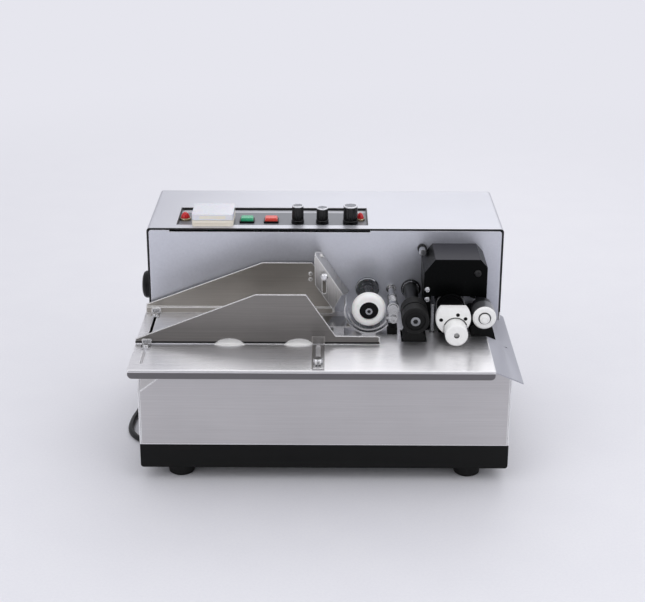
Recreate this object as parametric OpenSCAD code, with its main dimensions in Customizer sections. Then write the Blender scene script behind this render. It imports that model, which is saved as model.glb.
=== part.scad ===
// Desk-top date coding machine: cards slide from the hopper under a feed wheel, past a pull roller,
// under a heated ink print wheel and out over the sloping flap on the right.
// The part stands on its feet at z = 0, its middle at x = y = 0, and its working side faces -Y.

/* [Housing] */
// Width of the housing over its side panels
body_w = 420; // [412:1:440]
// Depth of the tower, from its front panel to its back
tower_depth = 155; // [145:1:180]
// How far the lower front panel stands ahead of the tower
lower_front = 134; // [126:1:146]
// Height of the work table above the desk
table_z = 158; // [150:1:166]
// Height of the tower top above the work table
tower_rise = 104; // [98:1:116]
// Height of the black base tray
base_h = 29; // [22:1:36]
// Height of the rubber feet
foot_h = 18; // [14:1:22]
// Diameter of a rubber foot
foot_d = 32; // [24:1:36]
// Distance of a foot's middle from the side of the base
foot_inset_x = 44; // [36:1:50]
// Distance of a foot's middle from the front or back of the base
foot_inset_y = 27; // [20:1:34]
// Thickness of the housing sheet
sheet = 1.5; // [1:0.1:1.8]
// Wall of the base tray
tray_wall = 2; // [1.6:0.1:3]
// Outer radius of the top cover's bends
bend_r = 4; // [3:0.5:6]
// Gap round the tower's front panel
panel_gap = 1; // [0.6:0.1:1.4]
// Thickness of the tower's front panel
panel_t = 2; // [1.6:0.1:3]
// Thickness of the frame plate that carries the shafts
frame_t = 6; // [5:0.5:8]
// Height of the cut at the lower housing's left front corner
corner_cut_z = 44; // [36:1:50]
// Width of that cut along the front
corner_cut_x = 58; // [46:1:64]
// Depth of that cut along the side
corner_cut_y = 40; // [32:1:48]

/* [Work table] */
// Thickness of the stainless table sheet
table_t = 1.5; // [1.2:0.1:2]
// How far the table reaches ahead of the tower
table_front = 178; // [172:1:190]
// How far the table reaches left of the middle
table_left = 214; // [212:1:222]
// Distance of the flap's bend from the housing's right side
bend_inset = 24.4; // [21:0.1:27]
// Width of the sloping flap
flap_run = 30.7; // [28:0.1:34]
// Drop of the flap over that width
flap_drop = 13; // [11:0.5:15]
// Depth of the front flange
flange_h = 10; // [8:0.5:12]
// Width of the guide slot near the left edge
slot_w = 3.4; // [3.2:0.1:4]
// Distance of that slot left of the middle
slot_x = 201; // [198:1:204]

/* [Control panel] */
// Width of the window in the top cover
window_w = 227; // [222:1:232]
// Depth of that window
window_d = 69; // [66:1:74]
// Depth of the panel below the cover
recess = 3.3; // [2.8:0.1:4]
// Thickness of the panel plate
plate_t = 2; // [1.6:0.1:2.4]
// Diameter of the two smaller control knobs
knob_d = 15.4; // [13:0.1:17]
// Diameter of the largest control knob
big_knob_d = 18.4; // [16:0.1:20]
// Height of the control knobs above the panel
knob_h = 22; // [17:0.5:24]
// Width of a push button
button_w = 15; // [13:0.1:16]
// Travel of a push button
button_travel = 2.5; // [1.5:0.1:3]
// Width of the counter's cover
counter_w = 48.6; // [46:0.1:50]
// Depth of the counter's cover
counter_d = 45; // [43:0.5:47]
// Height of the counter's cover
counter_h = 14.5; // [12:0.5:17]
// Diameter of the knob on the tower's left side
side_knob_d = 33; // [28:0.5:36]
// How far that knob stands out
side_knob_proud = 10.5; // [9:0.5:13]

/* [Feed and print unit] */
// Height of the shafts above the work table
shaft_rise = 30; // [29:0.5:32]
// Radius of the feed and roller shafts
shaft_r = 4; // [3:0.1:4.4]
// Radius of the print shaft
print_shaft_r = 5; // [4.5:0.1:5.5]
// Running clearance of a shaft in its bearing
run_fit = 0.05; // [0.03:0.01:0.08]
// Clearance between parts that sit together
seat_gap = 0.3; // [0.2:0.05:0.4]
// Diameter of the white feed wheel
feed_d = 39; // [37:0.1:40]
// Width of the feed wheel
feed_w = 14; // [11:0.5:16]
// Diameter of the feed wheel's hub
feed_hub_d = 21.6; // [18:0.1:24]
// Diameter of the black pull roller
pull_d = 31; // [29:0.1:32]
// Diameter of the print wheel
print_d = 33; // [31:0.1:34]
// Diameter of the heated ink roll
ink_d = 34; // [32:0.1:35]
// Diameter of the roller under the pull roller
lower_d = 26; // [25:0.1:27]
// Diameter of the roller that presses cards on the print wheel
press_d = 25; // [24:0.1:26]
// Diameter of the outfeed roller
outfeed_d = 26.6; // [25:0.1:29]
// Diameter of the white crank disc
crank_d = 40; // [37:0.1:41]
// Diameter of the crank handle
handle_d = 25.5; // [22:0.1:26.5]
// Length of the crank handle
handle_len = 20; // [16:0.5:24]
// Gap between rollers that press on a card
nip = 0.4; // [0.3:0.05:0.6]

/* [Guides] */
// Height of the rear card guide
rear_guide_h = 63.5; // [58:0.5:66]
// Height of the front card guide
front_guide_h = 60.5; // [56:0.5:64]
// Distance of the front guide ahead of the tower
front_guide_y = 103; // [100:1:108]
// Thickness of the guide plates
guide_t = 1.5; // [1.2:0.1:1.8]
// Gap under the front guide
guide_lift = 1.5; // [1:0.1:2]

/* [Mains lead] */
// Diameter of the lead
cord_d = 7; // [6:0.1:7]
// Mean radius of the coil's outer loop
coil_r = 45; // [42:1:50]
// Loops in the coil
coil_loops = 4; // [2:2:6]
// Step from one loop to the next
coil_step = 7.8; // [7.6:0.1:9]

/* [Hidden] */
$fn = 48;

// The housing is drawn with x = 0 mid-width and y = 0 at the tower front, then set with its middle
// at the origin.
half_w = body_w / 2;
screw_head = 1.5;
left_reach = half_w + side_knob_proud;
table_bend = half_w - bend_inset;
right_reach = table_bend + flap_run;
rear_reach = tower_depth + screw_head;
to_origin = [(left_reach - right_reach) / 2, (table_front - rear_reach) / 2, 0];

base_top = foot_h + base_h;
tray_floor = foot_h + tray_wall;
tower_top = table_z + tower_rise;
cover_under = tower_top - sheet;
table_under = table_z - table_t;
table_back = panel_t - seat_gap;
inner_w = half_w - sheet - seat_gap;
flap_slope = flap_drop / flap_run;
flap_fall = table_t * sqrt(1 + flap_slope * flap_slope);
table_bend_r = 2.4;
flap_hole = [table_bend + 21.9, -87];
flap_hole_r = 1.6;
flap_back = 20;
flap_corner = 4;
frame_y0 = panel_t;
frame_y1 = panel_t + frame_t;

// Control panel and what stands on it
window_inset = 33.8;
window_x = -half_w + window_inset;
window_y = 13.5;
panel_top = tower_top - recess;
frame_lip = 4;
controls_y = window_y + 24;
knobs_y = window_y + 18;
lamp_y = window_y + 30;
lamp_r = [5.6, 4.4];
lamp_ring_h = 2.2;
lamp_barrel = 4.5;
button_d = 13;
button_rise = 5.7;
button_fit = 0.2;
bezel_rim = 1.2;
bezel_lip = 0.8;
bezel_h = 2.4;
bezel_body = 14;
knob_shaft_r = 3;
pot_r = 8;
pot_h = 9;
pot_neck_r = 4.6;
pot_neck_h = 2.6;
pot_floor = 2;
side_neck = 0.5;
knob_lift = 3;
counter_y0 = 7.5;
counter_wall = 1.5;
counter_corner = 3;
plinth_h = 7;
counter_body_w = 38;
counter_body_d = 30;
hinge_r = 1.2;
hinge_lug_r = 2.6;
hinge_len = 5;
hinge_z = tower_top + plinth_h + hinge_lug_r + seat_gap;
hinge_y = counter_y0 + counter_d + 1.6;
hinge_block_w = 18;
side_knob_y = 32;
side_knob_z = table_z + 22;
frame_trim = 1.4;
trim_gap = 0.1;

// The row of controls: parts of fixed width, and gaps that share out the rest of the window
lamp_edge = 13.8;
knob_edge = 11.6;
lamp_inset = [8.2, 8.8];
bezel_w = button_w + bezel_rim + 2 * bezel_lip;
row_shares = [5.4, 6, 11.2, 15.2, 13.8, 16.6];
row_parts = lamp_edge + counter_w + 2 * bezel_w + 2 * knob_d + big_knob_d + knob_edge;
row_gap = (window_w - row_parts) / (row_shares * [1, 1, 1, 1, 1, 1]);
lamp_x = [window_x + lamp_inset[0], window_x + window_w - lamp_inset[1]];
counter_x0 = window_x + lamp_edge + row_shares[0] * row_gap;
start_x = counter_x0 + counter_w + row_shares[1] * row_gap + bezel_w / 2;
stop_x = start_x + bezel_w + row_shares[2] * row_gap;
speed_x = stop_x + (bezel_w + knob_d) / 2 + row_shares[3] * row_gap;
delay_x = speed_x + knob_d + row_shares[4] * row_gap;
heat_x = delay_x + (knob_d + big_knob_d) / 2 + row_shares[5] * row_gap;
button_x = [start_x, stop_x];
knob_x = [speed_x, delay_x, heat_x];

// Shafts, all at one height and in a row that starts at the flap's bend
shaft_z = table_z + shaft_rise;
outfeed_inset = 5.1;
print_pitch = 35.5;
pull_pitch = 43;
feed_pitch = 51.5;
outfeed_x = table_bend - outfeed_inset;
print_x = outfeed_x - print_pitch;
pull_x = print_x - pull_pitch;
feed_x = pull_x - feed_pitch;
sleeve_back = 28;
flange_t = 4;
feed_flange_r = 14;
pull_flange_r = 11.5;
print_flange_r = 13;
neck_r = 8;
pull_neck_gap = 16;
pulley_r = 14;
pulley_lip = 1.5;
pulley_w = 12;
belt_t = 1.5;
belt_y = [32, 47];
shaft_back = belt_y[0] + pulley_w + 1;
feed_front = 75.5;
pull_front = 106.5;
pull_back = 68;
pull_groove = 3;
drum_front = 56;
drum_back = 14;
disc_front = 98.6;
disc_t = 7;
outfeed_front = 96.7;
deflector_gap = 23;
outfeed_tyre_w = 22;
outfeed_wall = 3;
outfeed_flange_r = 12;
outfeed_boss_r = 5.6;
outfeed_boss_h = 4;
outfeed_stub = [2.8, 1.6];
outfeed_groove = [1.6, 3];
outfeed_body_r = outfeed_d / 2 - 1.5;
crank_throw = [2.6, -12.4];
crank_pin_r = 5;
pin_x = print_x + crank_throw[0];
pin_z = shaft_z + crank_throw[1];
handle_room = 1.3;
handle_sink = 1.8;
disc_hole_r = 2.2;
handle_front_wall = 4;
handle_hole_r = 3.2;

// Card separator under the feed wheel
post_pitch = 28;
post_x = feed_x + post_pitch;
post_r = 3.5;
arm_front = 68;
arm_back = 60;
strip_t = 1.5;
inner_strip_r = feed_d / 2 + 3.2;
outer_strip_r = inner_strip_r + strip_t + 2.7;
strip_front = 74.5;
strip_back = 52;
bed_rise = 9;

// Rollers under the table
press_z = shaft_z - print_d / 2 - nip - press_d / 2;
lower_z = shaft_z - pull_d / 2 - nip - lower_d / 2;
lower_shaft_r = 3;
lower_room = 1.5;
lower_front_y = pull_front - 14;
bracket_front = 64;
bracket_back = 59;
bracket_drop = 46;
bracket_side = 24;
lug_r = 7;
side_plate_x = [print_x - 22.5, print_x - 19.5];
side_plate_rise = 34;

// Ink hood over the print wheel
hood_reach = [31.3, 41];
hood_left = print_x - hood_reach[0];
hood_right = print_x + hood_reach[1];
hood_front = 58;
hood_rise = 86.5;
hood_low = 42;
hood_tab = [8, 6];
hood_cut = [[12.6, 16.5], [8.4, 9.5]];
hood_wall = 1.5;
stud_pos = [hood_left + 0.5, table_z + 80.5];
hood_room = 1.5;
leg_w = 8.3;
leg_screw_z = [20, 8];
ink_x = print_x + 5;
ink_z = shaft_z + sqrt(pow((print_d + ink_d) / 2 + nip, 2) - pow(ink_x - print_x, 2));
ink_axle_r = 5;

// Feed gate, a bent sheet hung from an arm on the tower
gate_y = 40;
gate_t = 1.5;
gate_pitch = 51.2;
gate_ridge = [[-10.1, 85.6], [29, 26.8]];
gate_pin = [12.5, 26];
gate_screw_pos = [feed_x - gate_pitch, table_z + 60.4];
gate_slot_len = 20;
gate_slot_w = 4.4;
gate_screw_r = 2;

// Guides
rail_h = 7.5;
rail_t = 3;
rear_guide_y = 4;
peg_x = gate_screw_pos[0] - 16.3;
peg_z = table_z + 50;
strap_w = 14;
strap_t = 1.5;
strap_rise = 9;
clamp_pitch = 57.5;
clamp_x = feed_x - clamp_pitch;
clamp_y = 160;
clamp_r = 2.5;
strap_front = 175;
strap_slot = [170, 112];
foot_w = 10;

// Drive
motor_pitch = 10.5;
motor_x = feed_x - motor_pitch;
motor_z = 95;
motor_r = 29;
motor_len = 88;
motor_gear = 62;

// Lead: the points that its middle follows from the gland to the coil, on the desk after the drop
gland_x = -175;
gland_z = 62;
gland_len = 34;
cord_points = [
  [-175, 160, 62], [-175, 178, 62], [-175, 193, 62], [-175.5, 207, 60], [-178.5, 220, 55],
  [-186, 230.5, 47.5], [-197, 237, 39], [-209.5, 238, 30], [-221.5, 233, 21.5], [-230, 224, 14],
  [-234, 211.5, 8.3], [-234.5, 198, 5], [-234.5, 180, 3.6], [-234, 156, 3.6], [-233, 132, 3.6],
  [-232, 108, 3.6], [-232, 84, 3.6], [-233, 62, 3.6], [-235, 44, 3.6], [-238, 26, 3.6], [-239, 8, 3.6], [-238, -8, 3.6],
  [-233, -22, 3.6], [-224, -34, 3.6], [-211, -42, 3.6], [-195, -46, 3.6], [-179, -46, 3.6],
  [-164, -41, 3.6], [-151, -32, 3.6], [-141, -19, 3.6], [-135, -3, 3.6], [-132, 18, 3.6],
  [-131, 44, 3.6], [-129.5, 72, 3.6], [-128, 100, 3.6], [-126, 128, 3.6], [-122.5, 154, 3.6],
  [-119, 180, 3.9], [-118, 204, 4.6], [-118, 224.7, 4.6]
];
tie_t = 0.8;
tie_w = 8;
coil_start = [-118, 232];
coil_z = cord_d / 2 + tie_t + seat_gap;
coil_lift = 7.8;
coil_mid = [coil_start[0] + coil_r, coil_start[1]];
coil_turns = coil_loops + 0.25;
coil_free = 34;
coil_rings = 24;

// Height of the flap's upper face, and of the table's before the bend
function flap_z(x) = table_z - max(0, x - table_bend) * flap_slope;
function flap_under(x) = x > table_bend ? flap_z(x) - flap_fall : table_under;

// Unit vector along v
function unit(v) = v / norm(v);

// Direction of a run of points at point i
function heading(p, i) = unit(p[min(i + 1, len(p) - 1)] - p[max(i - 1, 0)]);

// Closed tube of radius r with the given number of sides along points p; up is a direction that the
// run never takes.
module tube(p, r, sides, up = [0, 0, 1]) {
  rings = [
    for (i = [0:len(p) - 1])
      let (h = heading(p, i), n = unit(cross(up, h)), b = cross(h, n))
        for (k = [0:sides - 1]) p[i] + r * (cos(360 * k / sides) * n + sin(360 * k / sides) * b)
  ];
  last = (len(p) - 1) * sides;
  walls = [
    for (i = [0:len(p) - 2], k = [0:sides - 1])
      let (a = i * sides + k, b = i * sides + (k + 1) % sides)
        each [[a, a + sides, b], [b, a + sides, b + sides]]
  ];
  near_cap = [for (k = [1:sides - 2]) [0, k, k + 1]];
  far_cap = [for (k = [1:sides - 2]) [last, last + k + 1, last + k]];
  polyhedron(points = rings, faces = concat(walls, near_cap, far_cap));
}

// Least gap between the turns of a wound tube, over points more than half a turn apart
function wound_gap(p, turn, d) = min([
  for (i = [0:len(p) - 1], j = [i + ceil(turn / 2):1:len(p) - 1]) norm(p[i] - p[j])
]) - d;

module machine() {
  translate(to_origin) children();
}

// Outline in x and z drawn from y0 to y1
module along_y(y0, y1) {
  translate([0, y1, 0]) rotate([90, 0, 0]) linear_extrude(y1 - y0) children();
}

// Outline in y and z drawn from x0 to x1
module along_x(x0, x1) {
  translate([x0, 0, 0]) rotate([90, 0, 90]) linear_extrude(x1 - x0) children();
}

module box(low, high) {
  translate(low) cube(high - low);
}

module rod_y(x, z, r, y0, y1) {
  translate([x, y1, z]) rotate([90, 0, 0]) cylinder(r = r, h = y1 - y0);
}

module rod_z(x, y, r, z0, z1) {
  translate([x, y, z0]) cylinder(r = r, h = z1 - z0);
}

// Revolved outline whose axis lies along y at x and z; its second coordinate runs towards the back
module spun_y(x, z) {
  translate([x, 0, z]) rotate([-90, 0, 0]) rotate_extrude() children();
}

// Rectangle with its four corners rounded, from its low to its high corner
module round_box(low, high, r) {
  translate([low[0] + r, low[1]]) square([high[0] - low[0] - 2 * r, high[1] - low[1]]);
  translate([low[0], low[1] + r]) square([high[0] - low[0], high[1] - low[1] - 2 * r]);
  for (x = [low[0] + r, high[0] - r], y = [low[1] + r, high[1] - r]) translate([x, y]) circle(r);
}

// Slot with round ends between two points on a line along the second axis
module slot(x, y0, y1, w) {
  translate([x - w / 2, y0]) square([w, y1 - y0]);
  for (y = [y0, y1]) translate([x, y]) circle(w / 2);
}

// What a rounded corner at the origin loses, for a piece in the first quarter
module corner_cut(r) {
  difference() {
    translate([-1, -1]) square(r + 1);
    translate([r, r]) circle(r);
  }
}

module ring(r_out, r_in) {
  difference() {
    circle(r_out);
    circle(r_in);
  }
}

// Strip bent to part of a circle, from angle a0 to a1
module arc_strip(r_in, t, a0, a1) {
  steps = 24;
  function at(r, i) = let (a = a0 + (a1 - a0) * i / steps) [r * cos(a), r * sin(a)];
  polygon(concat([for (i = [0:steps]) at(r_in + t, i)], [for (i = [steps:-1:0]) at(r_in, i)]));
}

// Corners of the base over which the feet stand
foot_spots = [
  for (x = [-half_w + foot_inset_x, half_w - foot_inset_x])
    for (y = [-lower_front + foot_inset_y, tower_depth - foot_inset_y]) [x, y]
];

module base_tray() {
  corner = 3.5;
  color("#1b1b1c") machine() difference() {
    along_y(-lower_front, tower_depth) union() {
      round_box([-half_w, foot_h], [half_w, base_top], corner);
      translate([-half_w, base_top - 2 * corner]) square([body_w, 2 * corner]);
    }
    box([-half_w + tray_wall, -lower_front + tray_wall, tray_floor],
        [half_w - tray_wall, tower_depth - tray_wall, base_top + 1]);
  }
}

module rubber_feet() {
  r = foot_d / 2;
  color("#222223") machine() for (p = foot_spots) translate([p[0], p[1], 0]) difference() {
    rotate_extrude() polygon([[0, 0], [r - 3, 0], [r - 1.2, 1.5], [r, foot_h - 4], [r, foot_h], [0, foot_h]]);
    translate([0, 0, -1]) cylinder(r = r * 0.3, h = foot_h * 0.5);
  }
}

module front_panel() {
  low_left = table_under - corner_cut_z;
  side_top = flap_under(inner_w) - seat_gap;
  lip = 12;
  a = [-inner_w, -lower_front, low_left];
  b = [-inner_w + corner_cut_x, -lower_front, table_under];
  c = [-inner_w, -lower_front + corner_cut_y, table_under];
  inward = sheet * unit(cross(c - a, b - a));
  color("#b9bbbf") machine() {
    along_y(-lower_front, -lower_front + sheet) polygon([
      [-inner_w, base_top], [inner_w, base_top], [inner_w, side_top],
      [table_bend, table_under - seat_gap], [b[0], table_under - seat_gap], [-inner_w, low_left - seat_gap]
    ]);
    box([-inner_w, -lower_front, base_top], [-inner_w + sheet, -lower_front + lip, low_left - seat_gap]);
    box([inner_w - sheet, -lower_front, base_top], [inner_w, -lower_front + lip, side_top]);
    polyhedron(
      points = [a, b, c, a + inward, b + inward, c + inward],
      faces = [[2, 1, 0], [4, 5, 3], [4, 3, 0], [1, 4, 0], [5, 4, 1], [2, 5, 1], [3, 5, 2], [0, 3, 2]]
    );
  }
}

module side_panels() {
  step = table_back + seat_gap;
  low = flap_under(half_w) - seat_gap;
  color("#b4b6ba") machine() {
    along_x(-half_w, -half_w + sheet) polygon([
      [-lower_front, base_top], [tower_depth, base_top], [tower_depth, table_z], [step, table_z],
      [step, table_under], [-lower_front + corner_cut_y, table_under],
      [-lower_front, table_under - corner_cut_z]
    ]);
    along_x(half_w - sheet, half_w) polygon([
      [-lower_front, base_top], [tower_depth, base_top], [tower_depth, table_z], [0, table_z],
      [0, low], [-lower_front, low]
    ]);
  }
}

// Places of the screws that hold the back panel
rear_screws = [
  for (x = [-half_w + 14, half_w - 14]) for (z = [base_top + 12, table_z, tower_top - 14]) [x, z]
];

module rear_panel() {
  vent = [44, 3.2];
  rows = 6;
  pitch = 8;
  color("#b4b6ba") machine() difference() {
    along_y(tower_depth - sheet, tower_depth)
      round_box([-inner_w, base_top], [inner_w, cover_under - seat_gap], 2);
    along_y(tower_depth - sheet - 1, tower_depth + 1)
      for (x = [40, 100], k = [0:rows - 1])
        translate([x, base_top + 30 + k * pitch]) square(vent);
    rod_y(gland_x, gland_z, 7 + seat_gap, tower_depth - sheet - 1, tower_depth + 1);
  }
}

module top_cover() {
  color("#c3c5c9") machine() difference() {
    along_y(0, tower_depth) difference() {
      union() {
        round_box([-half_w, table_z], [half_w, tower_top], bend_r);
        translate([-half_w, table_z]) square([body_w, bend_r * 2]);
      }
      translate([-half_w + sheet, table_z - 1]) square([body_w - 2 * sheet, tower_rise - sheet - bend_r + 1]);
      round_box([-half_w + sheet, table_z], [half_w - sheet, cover_under], bend_r - sheet);
    }
    box([window_x, window_y, cover_under - 1], [window_x + window_w, window_y + window_d, tower_top + 1]);
    along_x(-half_w - 1, -half_w + sheet + 1)
      translate([side_knob_y, side_knob_z]) circle(pot_neck_r + run_fit);
  }
}

// Shaft places on the tower's face, with the radius of the sleeve that goes through it
shaft_spots = [[feed_x, 10], [pull_x, 10], [print_x, 11], [outfeed_x, 10]];

module tower_bores(y0, y1) {
  for (s = shaft_spots) rod_y(s[0], shaft_z, s[1] + run_fit, y0, y1);
  rod_y(post_x, shaft_z, post_r + run_fit, y0, y1);
  rod_y(ink_x, ink_z, ink_axle_r + run_fit, y0, y1);
}

module tower_front_panel() {
  x1 = half_w - sheet - panel_gap;
  top = cover_under - panel_gap;
  notch = 2;
  color("#aeb1b7") machine() difference() {
    along_y(0, panel_t) difference() {
      union() {
        round_box([-x1, table_z], [x1, top], 3);
        polygon([
          [-x1, table_z], [table_bend, table_z], [x1, flap_z(x1)], [x1, shaft_z], [-x1, shaft_z]
        ]);
      }
      translate([window_x - 7, top - notch]) square([window_w + 9, notch + 1]);
    }
    tower_bores(-1, panel_t + 1);
    rod_y(print_x, press_z, lower_shaft_r + lower_room, -1, panel_t + 1);
  }
}

module work_table() {
  pull_half = lower_d / 2 + lower_room;
  press_half = press_d / 2 + lower_room;
  axle_half = lower_shaft_r + lower_room;
  flange_corner = 5;
  clear = half_w + seat_gap;
  front_bend = [
    for (a = [90:15:180]) [-table_front, table_z] + table_bend_r * [1 + cos(a), sin(a) - 1]
  ];
  color("#c9cacb") machine() difference() {
    union() {
      along_x(-table_left, table_bend) polygon(concat(
        front_bend,
        [
          [-table_front, table_z - flange_h], [-table_front + table_t, table_z - flange_h],
          [-table_front + table_t, table_under], [table_back, table_under], [table_back, table_z]
        ]
      ));
      along_y(-table_front, -seat_gap) polygon([
        [table_bend - table_t, table_z], [table_bend, table_z], [right_reach, flap_z(right_reach)],
        [right_reach, flap_z(right_reach) - flap_fall], [table_bend, table_under],
        [table_bend - table_t, table_under]
      ]);
      // The flap's outer strip runs on beside the tower, clear of the housing
      along_y(-seat_gap - 1, flap_back) polygon([
        [clear, flap_z(clear)], [right_reach, flap_z(right_reach)],
        [right_reach, flap_z(right_reach) - flap_fall], [clear, flap_z(clear) - flap_fall]
      ]);
    }
    rod_z(flap_hole[0], flap_hole[1], flap_hole_r, table_z - 2 * flap_drop, table_z + 1);
    box([side_plate_x[0] - lower_room, -bracket_front - lower_room, table_under - 1],
        [side_plate_x[1] + lower_room, -bracket_back + lower_room, table_z + 1]);
    translate([right_reach, flap_back, table_z - 2 * flap_drop]) linear_extrude(2 * flap_drop)
      rotate(180) corner_cut(flap_corner);
    along_y(-table_front - 1, -table_front + table_t + 1) {
      translate([-table_left, table_z - flange_h]) corner_cut(flange_corner);
      translate([table_bend, table_z - flange_h]) mirror([1, 0]) corner_cut(flange_corner);
    }
    translate([0, 0, table_under - 1]) linear_extrude(table_t + 2) slot(-slot_x, -157, -10, slot_w);
    box([pull_x - pull_half, -lower_front_y - lower_room, table_under - 1],
        [pull_x + pull_half, -bracket_back + lower_room, table_z + 1]);
    box([print_x - press_half, -bracket_front - lower_room, table_under - 1],
        [print_x + press_half, -drum_back + lower_room, table_z + 1]);
    box([print_x - axle_half, -drum_back, table_under - 1],
        [print_x + axle_half, table_back + 1, table_z + 1]);
    rod_z(clamp_x, -clamp_y, clamp_r + run_fit, table_under - 1, table_z + 1);
  }
}

module main_frame() {
  foot = 26;
  left = -half_w + 16;
  right = half_w - 12;
  color("#8d9094") machine() difference() {
    union() {
      along_y(frame_y0, frame_y1) round_box([left, tray_floor], [right, tower_top - 14], 4);
      box([left, frame_y1, tray_floor], [right, frame_y1 + foot, tray_floor + 3]);
    }
    tower_bores(frame_y0 - 1, frame_y1 + 1);
    rod_y(print_x, press_z, lower_shaft_r + run_fit, frame_y0 - 1, frame_y1 + 1);
    rod_y(motor_x, motor_z, shaft_r + 6, frame_y0 - 1, frame_y1 + 1);
  }
}

// Pan-head screw with a cross slot, its head towards -y from y0
module screw_front(x, y0, z, r, h) {
  difference() {
    spun_y(x, z) polygon([[0, y0], [r, y0], [r, y0 - h * 0.4], [r * 0.7, y0 - h], [0, y0 - h]]);
    box([x - r * 0.55, y0 - h - 1, z - 0.4], [x + r * 0.55, y0 - h * 0.5, z + 0.4]);
    box([x - 0.4, y0 - h - 1, z - r * 0.55], [x + 0.4, y0 - h * 0.5, z + r * 0.55]);
  }
}

module housing_screws() {
  color("#d0d1d3") machine() {
    for (s = rear_screws) mirror([0, 1, 0]) screw_front(s[0], -tower_depth, s[1], 3.4, screw_head);
    for (z = leg_screw_z) screw_front(hood_left + leg_w / 2, -hood_front, shaft_z + z, 3.4, 2.4);
    screw_front(hood_right - 11, -hood_front, table_z + 70, 4, 2);
    along_x(hood_right, hood_right + screw_head) translate([-hood_front + 18, table_z + 48]) circle(3);
    // Stud beside the hood, and the ring that keeps the pull roller's sleeve
    rod_y(stud_pos[0], stud_pos[1], 5.5, -3, 0);
    rod_y(stud_pos[0], stud_pos[1], 4.2, -17, -3);
    along_y(-flange_t - screw_head, -flange_t) translate([pull_x, shaft_z]) ring(10.6, neck_r + run_fit);
  }
}

module control_panel() {
  hole_w = button_w / 2 + bezel_rim / 2 + button_fit;
  hole_d = button_d / 2 + bezel_rim / 2 + button_fit;
  color("#7f8287") machine() difference() {
    box([window_x - frame_lip, window_y - frame_lip, panel_top - plate_t],
        [window_x + window_w + frame_lip, window_y + window_d + frame_lip, panel_top]);
    for (x = button_x)
      box([x - hole_w, controls_y - hole_d, panel_top - plate_t - 1],
          [x + hole_w, controls_y + hole_d, panel_top + 1]);
    for (x = knob_x) rod_z(x, knobs_y, pot_neck_r + run_fit, panel_top - plate_t - 1, panel_top + 1);
  }
  // Black frame between the panel and the cover, with a lip that lines the window
  low = [window_x, window_y];
  high = low + [window_w, window_d];
  lip = [frame_lip, frame_lip];
  gap = [trim_gap, trim_gap];
  trim = [frame_trim, frame_trim];
  color("#161617") machine() difference() {
    union() {
      translate([0, 0, panel_top]) linear_extrude(cover_under - panel_top) translate(low - lip)
        square(high - low + 2 * lip);
      translate([0, 0, cover_under - 1]) linear_extrude(sheet + 1 - seat_gap) translate(low + gap)
        square(high - low - 2 * gap);
    }
    translate([0, 0, panel_top - 1]) linear_extrude(recess + 2) translate(low + trim)
      square(high - low - 2 * trim);
  }
}

module signal_lamps() {
  color("#c3161c") machine() for (k = [0, 1]) translate([lamp_x[k], lamp_y, panel_top]) {
    r = lamp_r[k];
    lens_r = r * 0.88;
    rotate_extrude() {
      square([r, lamp_ring_h]);
      square([lens_r, lamp_barrel]);
      translate([0, lamp_barrel]) intersection() {
        scale([lens_r, lens_r * 0.62]) circle(1);
        square(r);
      }
    }
  }
}

module counter_body() {
  x0 = counter_x0 + (counter_w - counter_body_w) / 2;
  y0 = window_y + 3;
  mid = counter_x0 + counter_w / 2;
  top = tower_top + plinth_h + 1.5;
  line_z = tower_top + 2.6;
  line_h = 0.8;
  color("#e6dfc8") machine() {
    difference() {
      union() {
        box([x0, y0, panel_top], [x0 + counter_body_w, y0 + counter_body_d, top]);
        translate([0, 0, tower_top]) linear_extrude(plinth_h) round_box([counter_x0, counter_y0],
          [counter_x0 + counter_w, counter_y0 + counter_d], counter_corner);
      }
      box([x0 + 4, y0 + 5, top - 1.5], [x0 + counter_body_w - 4, y0 + 15, top + 1]);
      box([counter_x0 - 1, counter_y0 - 1, line_z],
          [counter_x0 + counter_w + 1, counter_y0 + line_h, line_z + line_h]);
    }
    // Hinge block with its two pins
    box([mid - hinge_block_w / 2, y0 + counter_body_d, panel_top],
        [mid + hinge_block_w / 2, hinge_y + hinge_lug_r, panel_top + 1.5]);
    along_x(mid - hinge_block_w / 2, mid + hinge_block_w / 2) union() {
      translate([hinge_y, hinge_z]) circle(hinge_lug_r);
      translate([hinge_y - hinge_lug_r, panel_top]) square([2 * hinge_lug_r, hinge_z - panel_top]);
    }
    for (s = [-1, 1])
      along_x(mid + s * (hinge_block_w / 2 + hinge_len / 2) - hinge_len / 2 - seat_gap,
              mid + s * (hinge_block_w / 2 + hinge_len / 2) + hinge_len / 2 + seat_gap)
        translate([hinge_y, hinge_z]) circle(hinge_r);
  }
}

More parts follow.
